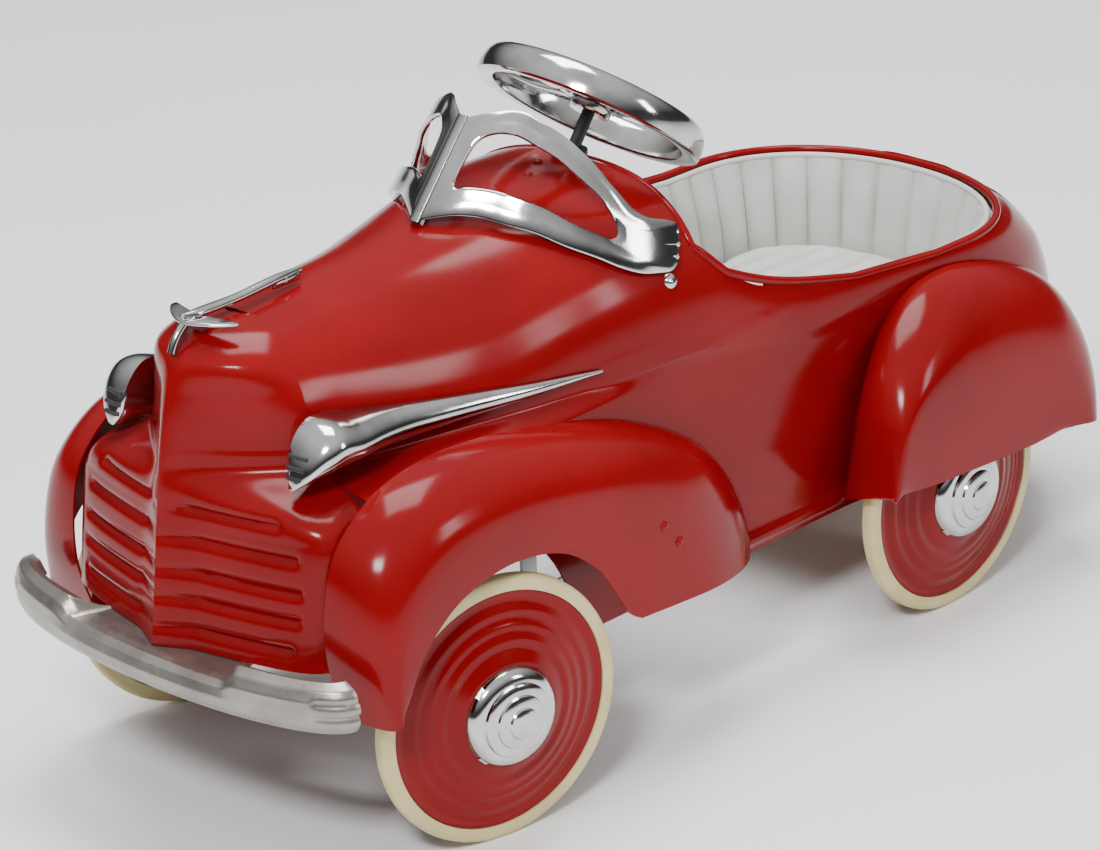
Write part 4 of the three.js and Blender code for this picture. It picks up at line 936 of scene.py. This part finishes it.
# Turned sections, as radius and distance from the car's middle plane.
DISC = [(5.6, 186), (30, 186), (38, 186), (41, 185.2), (48, 181.2), (50, 180.6), (52, 180.9),
        (54, 181.4), (56, 180.9), (60, 178.6), (62, 178.2), (64, 178.6), (66, 177.6), (70, 175.7),
        (72, 175.6), (74, 176.1), (76, 175.6), (80, 173.4), (83, 172.6), (86, 173), (88.6, 174),
        (89.6, 173.6), (89.8, 172), (89.5, 165), (89.5, 164), (87, 164), (87, 170.5), (38, 183.5),
        (9, 183.5), (9, 152), (5.6, 152)]
TYRE = [(90, 163), (96, 163), (98.6, 163.5), (100.2, 164.8), (AXLE_Z, 166.6), (AXLE_Z, 171.4),
        (100.2, 173.2), (98.6, 174.5), (96, 175), (90, 175)]
CAP = [(0, 205.9), (4, 205.8), (8, 205.2), (11, 204), (12, 202.6), (14, 202.2), (17, 201.6),
       (19.5, 200.6), (20.3, 199), (22, 198.7), (25, 198.3), (27.4, 197), (28.3, 195), (30, 194.6),
       (33, 193.6), (35.5, 191.4), (37, 188.8), (37.7, 186.4), (36.2, 186.4), (34, 190), (26, 194),
       (14, 200), (0, 204.2)]


TAB = ((35.8, 190.6), (38.4, 187.6), (38.4, 186.4), (35.6, 189))
TAB_SPREAD = 0.11  # radians


def corner_matrix(side):
    """A front wheel's place, turned about its kingpin as in the photo."""
    x = side * KINGPIN_X
    turn = Matrix.Rotation(STEER_REST, 4, "Z")
    return (Matrix.Translation((x, FRONT_AXLE_Y, 0)) @ turn @ Matrix.Translation((-x, 0, 0))
            @ outward(side))


def build_cap(name, matrix):
    cap = turned(f"{name}_dome", CAP, 96, CHROME, matrix, 30)
    tabs = []
    for k in range(4):
        a = math.pi / 4 + k * math.pi / 2
        points = [matrix @ Vector((radius * math.cos(turn), radius * math.sin(turn), height))
                  for turn in (a - TAB_SPREAD, a + TAB_SPREAD) for radius, height in TAB]
        tabs.append(make(f"tab_{k}", points, ring_faces(2, 4), CHROME, 30))
    return joined(name, [cap] + tabs, 30)


WHEELS = [(f"front_{name}", side, corner_matrix(side), f"wheel_front_{name}")
          for name, side in SIDES]
WHEELS.append(("rear_left", 1, outward(1, REAR_AXLE_Y), "rear_axle"))
WHEELS.append(("rear_right", -1, outward(-1, REAR_AXLE_Y), "wheel_rear_right"))
for name, side, matrix, body in WHEELS:
    finished(turned(f"disc_{name}", DISC, 128, RED, matrix, 50), body, "red_enamel",
             f"wheel_disc_{name}")
    finished(turned(f"tyre_ring_{name}", TYRE, 128, CREAM, matrix, 50), body, "cream_rubber",
             f"tyre_{name}")
    finished(build_cap(f"cap_{name}", matrix), body, "chrome", f"hubcap_{name}")

# ------------------------------------------------------------ steering wheel
COLUMN = (Matrix.Translation(COLUMN_TOP) @ Matrix.Rotation(-COLUMN_TILT, 4, "X"))
RIM = [(90, -11), (90.4, -6), (90, -2), (89, 3), (87, 7.4), (84.5, 10.2), (82, 10.8),
       (79.8, 9), (78.4, 5), (77.5, -1), (77, -6), (77, -11), (79, -12), (84, -12.2), (88.5, -12)]
HUB = [(5.3, -9), (15, -9), (16.4, -7), (17, -3), (21, -1.6), (26, -1), (26.4, 0.6), (24, 3),
       (17, 4.4), (10, 6), (5.3, 6)]
SPOKE_START, SPOKE_LENGTH = 14, 68
# Share of the half width, height.
SPOKE_SECTION = ((-1, -1.2), (-0.85, 0.8), (0, 1.6), (0.85, 0.8), (1, -1.2), (0.85, -2),
                 (0, -1.4), (-0.85, -2))
spoke_half = through([(14, 14), (38, 9.5), (54, 12), (66, 17), (74, 26), (80, 36), (84, 40)])


def build_spoke(degrees):
    angle = math.radians(degrees)
    turn = Matrix.Rotation(angle, 4, "Z")
    rows = []
    for k in range(24):
        r = SPOKE_START + k * SPOKE_LENGTH / 23
        half = spoke_half(r)
        ring = []
        for share, z in SPOKE_SECTION:
            y = share * half
            x = math.sqrt(max(r * r - 0.55 * y * y, 100)) if r > 60 else r
            ring.append(COLUMN @ turn @ Vector((x, y, z)))
        rows.append(ring)
    return loft(f"spoke_{degrees}", rows, CHROME, 40)


def build_steering_wheel():
    pieces = [turned("rim", RIM, 128, CHROME, COLUMN, 50), turned("hub", HUB, 64, CHROME, COLUMN)]
    pieces += [build_spoke(degrees) for degrees in (5, 185, -85)]
    return joined("steering_wheel_plated", pieces, 45)


finished(build_steering_wheel(), "steering", "chrome", "steering_wheel")
NUT = [(0, 19.4), (3, 19), (6, 17.8), (7.6, 15.4), (8, 12.4), (0, 12.4)]
finished(turned("wheel_cap_nut", NUT, 48, CHROME, COLUMN), "steering", "chrome",
         "steering_wheel_nut")


# ------------------------------------------------------------ screws and bolts
def build_head(name, radius, point, normal, material, slotted):
    facing = Vector(normal).normalized()
    turn = facing.to_track_quat("Z", "Y").to_matrix().to_4x4()
    matrix = Matrix.Translation(Vector(point) + facing * 0.3) @ turn
    rise = radius * 0.55
    profile = [(0, rise), (radius * 0.35, rise * 0.96), (radius * 0.65, rise * 0.78),
               (radius * 0.88, rise * 0.45), (radius, 0.2), (radius * 0.98, 0), (0, 0)]
    head = turned(name, profile, 32, material, matrix, 50)
    if slotted:
        w, d = radius * 0.12, radius * 1.2
        points = [matrix @ Vector((sx * d, sy * w, z)) for z in (rise * 0.55, rise * 2)
                  for sx, sy in ((-1, -1), (1, -1), (1, 1), (-1, 1))]
        cut(head, make("slot_cut", points, ring_faces(2, 4), None))
        soften(head)
    return head


for name, side in SIDES:
    for k, (y, z) in enumerate(((161, 189.9), (176.6, 172.6))):
        node = f"front_fender_bolt_{name}_{k + 1}"
        head = build_head(f"{node}_head", 4, (side * 185.7, y, z), (side, 0, 0), RED, False)
        finished(head, "body", "red_enamel", node)
    node = f"windshield_screw_{name}"
    head = build_head(f"{node}_head", 6, (side * 125, 239.8, 341.7), (side * 0.89, -0.07, 0.45),
                      CHROME, True)
    finished(head, "body", "chrome", node)
for k, (x, y, z) in enumerate(((8, 215, 404.6), (-6, 240, 405))):
    head = build_head(f"cowl_bolt_{k + 1}_head", 4, (x, y, z), (0, 0, 1), RED, False)
    finished(head, "body", "red_enamel", f"cowl_bolt_{k + 1}")

# ------------------------------------------------------------ upholstery
PLEATS = 26
LINER_FRONT = 400
LINER_FOOT = 182


def build_liner():
    columns = PLEATS * 14
    rings = []
    for k in range(columns + 1):
        share = k / columns
        phase = (share * PLEATS) % 1
        puff = max(0.0, math.sin(math.pi * phase)) ** 0.5
        ring = []
        rows = 16
        for j in range(rows + 1):
            down = j / rows
            inset = lerp(11, 27, down) + 9 * puff * math.sin(math.pi * (0.12 + 0.8 * down))
            x, y = seat_plan(share, LINER_FRONT, inset)
            ring.append((x, y, lerp(rim_height(y) - 4.5 + 1.2 * puff, LINER_FOOT, down)))
        for inset, down in ((24, 1), (15, 0.5), (5, 0.02)):
            x, y = seat_plan(share, LINER_FRONT, inset)
            ring.append((x, y, lerp(rim_height(y) - 4, LINER_FOOT, down)))
        rings.append(ring)
    pad = loft("liner", rings, VINYL, 60)
    piping = []
    for k in range(121):
        x, y = seat_plan(k / 120, LINER_FRONT, 10)
        piping.append((x, y, rim_height(y) - 2.4))
    return joined("cockpit_liner", [pad, tube("piping", piping, 2.6, VINYL)], 60)


liner = build_liner()
finished(liner, "body", "white_vinyl", "seat_liner")


VOXEL = 0.005  # metres
PRESSURE = 4
SETTLE_FRAMES = 20
SWELL_LIMIT = 0.006  # metres
CUSHION_FRONT = 430
CUSHION_BASE = 178.3
CUSHION_LOWEST = 0.1785  # metres, so the swollen cushion stays off the seat board
PLEAT_PITCH = 24


def settle(piece, cap):
    """Swells a remeshed cushion with cloth pressure and caps how far it moves."""
    remesh = piece.modifiers.new("remesh", "REMESH")
    remesh.mode = "VOXEL"
    remesh.voxel_size = VOXEL
    apply_modifiers(piece)
    rest = [v.co.copy() for v in piece.data.vertices]
    cloth = piece.modifiers.new("cloth", "CLOTH")
    cloth.settings.use_pressure = True
    cloth.settings.uniform_pressure_force = PRESSURE
    cloth.settings.effector_weights.gravity = 0
    scene = bpy.context.scene
    for number in range(1, SETTLE_FRAMES + 1):
        scene.frame_set(number)
    apply_modifiers(piece)
    scene.frame_set(1)
    for vertex, start in zip(piece.data.vertices, rest):
        move = vertex.co - start
        if move.length > cap:
            vertex.co = start + move.normalized() * cap
    subdivision = piece.modifiers.new("smooth", "SUBSURF")
    subdivision.levels = 1
    apply_modifiers(piece)


def build_cushion():
    rings = []
    for inset, rise in ((37, 2), (35, 10), (35, 26), (39, 33), (48, 37), (74, 39)):
        ring = []
        for k in range(97):
            x, y = seat_plan(k / 96, CUSHION_FRONT + inset - 32, inset)
            ring.append((x, y, CUSHION_BASE + rise))
        rings.append(ring)
    pad = loft("cushion", rings, VINYL)
    settle(pad, SWELL_LIMIT)
    for vertex in pad.data.vertices:
        x, y, z = vertex.co * 1000
        y += CENTRE
        if z > 196:
            bend = x * (1 + 0.0009 * (y - 520))
            off = (bend + PLEAT_PITCH / 2) % PLEAT_PITCH - PLEAT_PITCH / 2
            depth = 8 * bell(off, 3) * smooth(z, 196, 208)
            vertex.co.z -= depth / 1000
        vertex.co.z = max(vertex.co.z, CUSHION_LOWEST)
    soften(pad, 80)
    pad.name = "seat_pad"
    return pad


cushion = build_cushion()
finished(cushion, "body", "white_vinyl", "seat_cushion")

# ------------------------------------------------------------ CAD pieces that stay
for part in frame["record"]["subparts"]:
    kept = frame["nodes"][part["node"]]
    for socket in kept.material_slots:
        socket.material = FINISH[part["material_slot"]]

# ------------------------------------------------------------ floor, lights and camera
FLOOR_HALF = 9  # metres, as everything below
HORIZON = (0.18, (0.06, 0.06, 0.06, 1))
OVERHEAD = (0.75, (1, 1, 1, 1))
SKY_STRENGTH = 0.9
floor_mesh = bpy.data.meshes.new("floor")
grid = bmesh.new()
bmesh.ops.create_grid(grid, x_segments=8, y_segments=8, size=FLOOR_HALF)
grid.to_mesh(floor_mesh)
grid.free()
floor_mesh.materials.append(FLOOR)
floor = bpy.data.objects.new("floor", floor_mesh)
bpy.context.scene.collection.objects.link(floor)


def softbox(name, where, aim, size, power):
    data = bpy.data.lights.new(name, "AREA")
    data.shape = "RECTANGLE"
    data.size, data.size_y = size
    data.energy = power
    lamp = bpy.data.objects.new(name, data)
    lamp.location = where
    lamp.rotation_euler = (Vector(aim) - Vector(where)).to_track_quat("-Z", "Y").to_euler()
    bpy.context.scene.collection.objects.link(lamp)


softbox("key", (1.4, -2.4, 2.5), (0, 0, 0.25), (0.7, 0.5), 95)
softbox("top", (-0.3, 0.2, 3.2), (0, 0, 0.2), (1.6, 1.6), 105)
softbox("side", (3.0, 1.2, 1.6), (0, 0, 0.2), (0.5, 1.0), 24)
world = bpy.data.worlds.new("studio")
world.use_nodes = True
sky = world.node_tree.nodes
wires = world.node_tree.links
directions = sky.new("ShaderNodeTexCoord")
parts = sky.new("ShaderNodeSeparateXYZ")
wires.new(directions.outputs["Generated"], parts.inputs["Vector"])
shade = sky.new("ShaderNodeValToRGB")
for stop, (position, color) in zip(shade.color_ramp.elements, (HORIZON, OVERHEAD)):
    stop.position = position
    stop.color = color
wires.new(parts.outputs["Z"], shade.inputs["Fac"])
wires.new(shade.outputs["Color"], sky["Background"].inputs["Color"])
sky["Background"].inputs["Strength"].default_value = SKY_STRENGTH
bpy.context.scene.world = world

# The camera stands where the photo's did: its place and its right, up and back directions.
CAMERA_PLACE = (2.0678, -2.1557, 1.4246)
CAMERA_AXES = ((0.7239, 0.6892, -0.0338), (-0.2425, 0.3000, 0.9227), (0.6460, -0.6596, 0.3843))
view = bpy.data.cameras.new("photo_camera")
view.lens = 137.45
view.sensor_width = 36
view.sensor_fit = "HORIZONTAL"
view.shift_x = -0.0078
view.shift_y = -0.0018
view.clip_end = 60
camera = bpy.data.objects.new("photo_camera", view)
bpy.context.scene.collection.objects.link(camera)
turned_to = Matrix(CAMERA_AXES).transposed().to_4x4()
camera.matrix_world = Matrix.Translation(CAMERA_PLACE) @ turned_to
bpy.context.scene.camera = camera
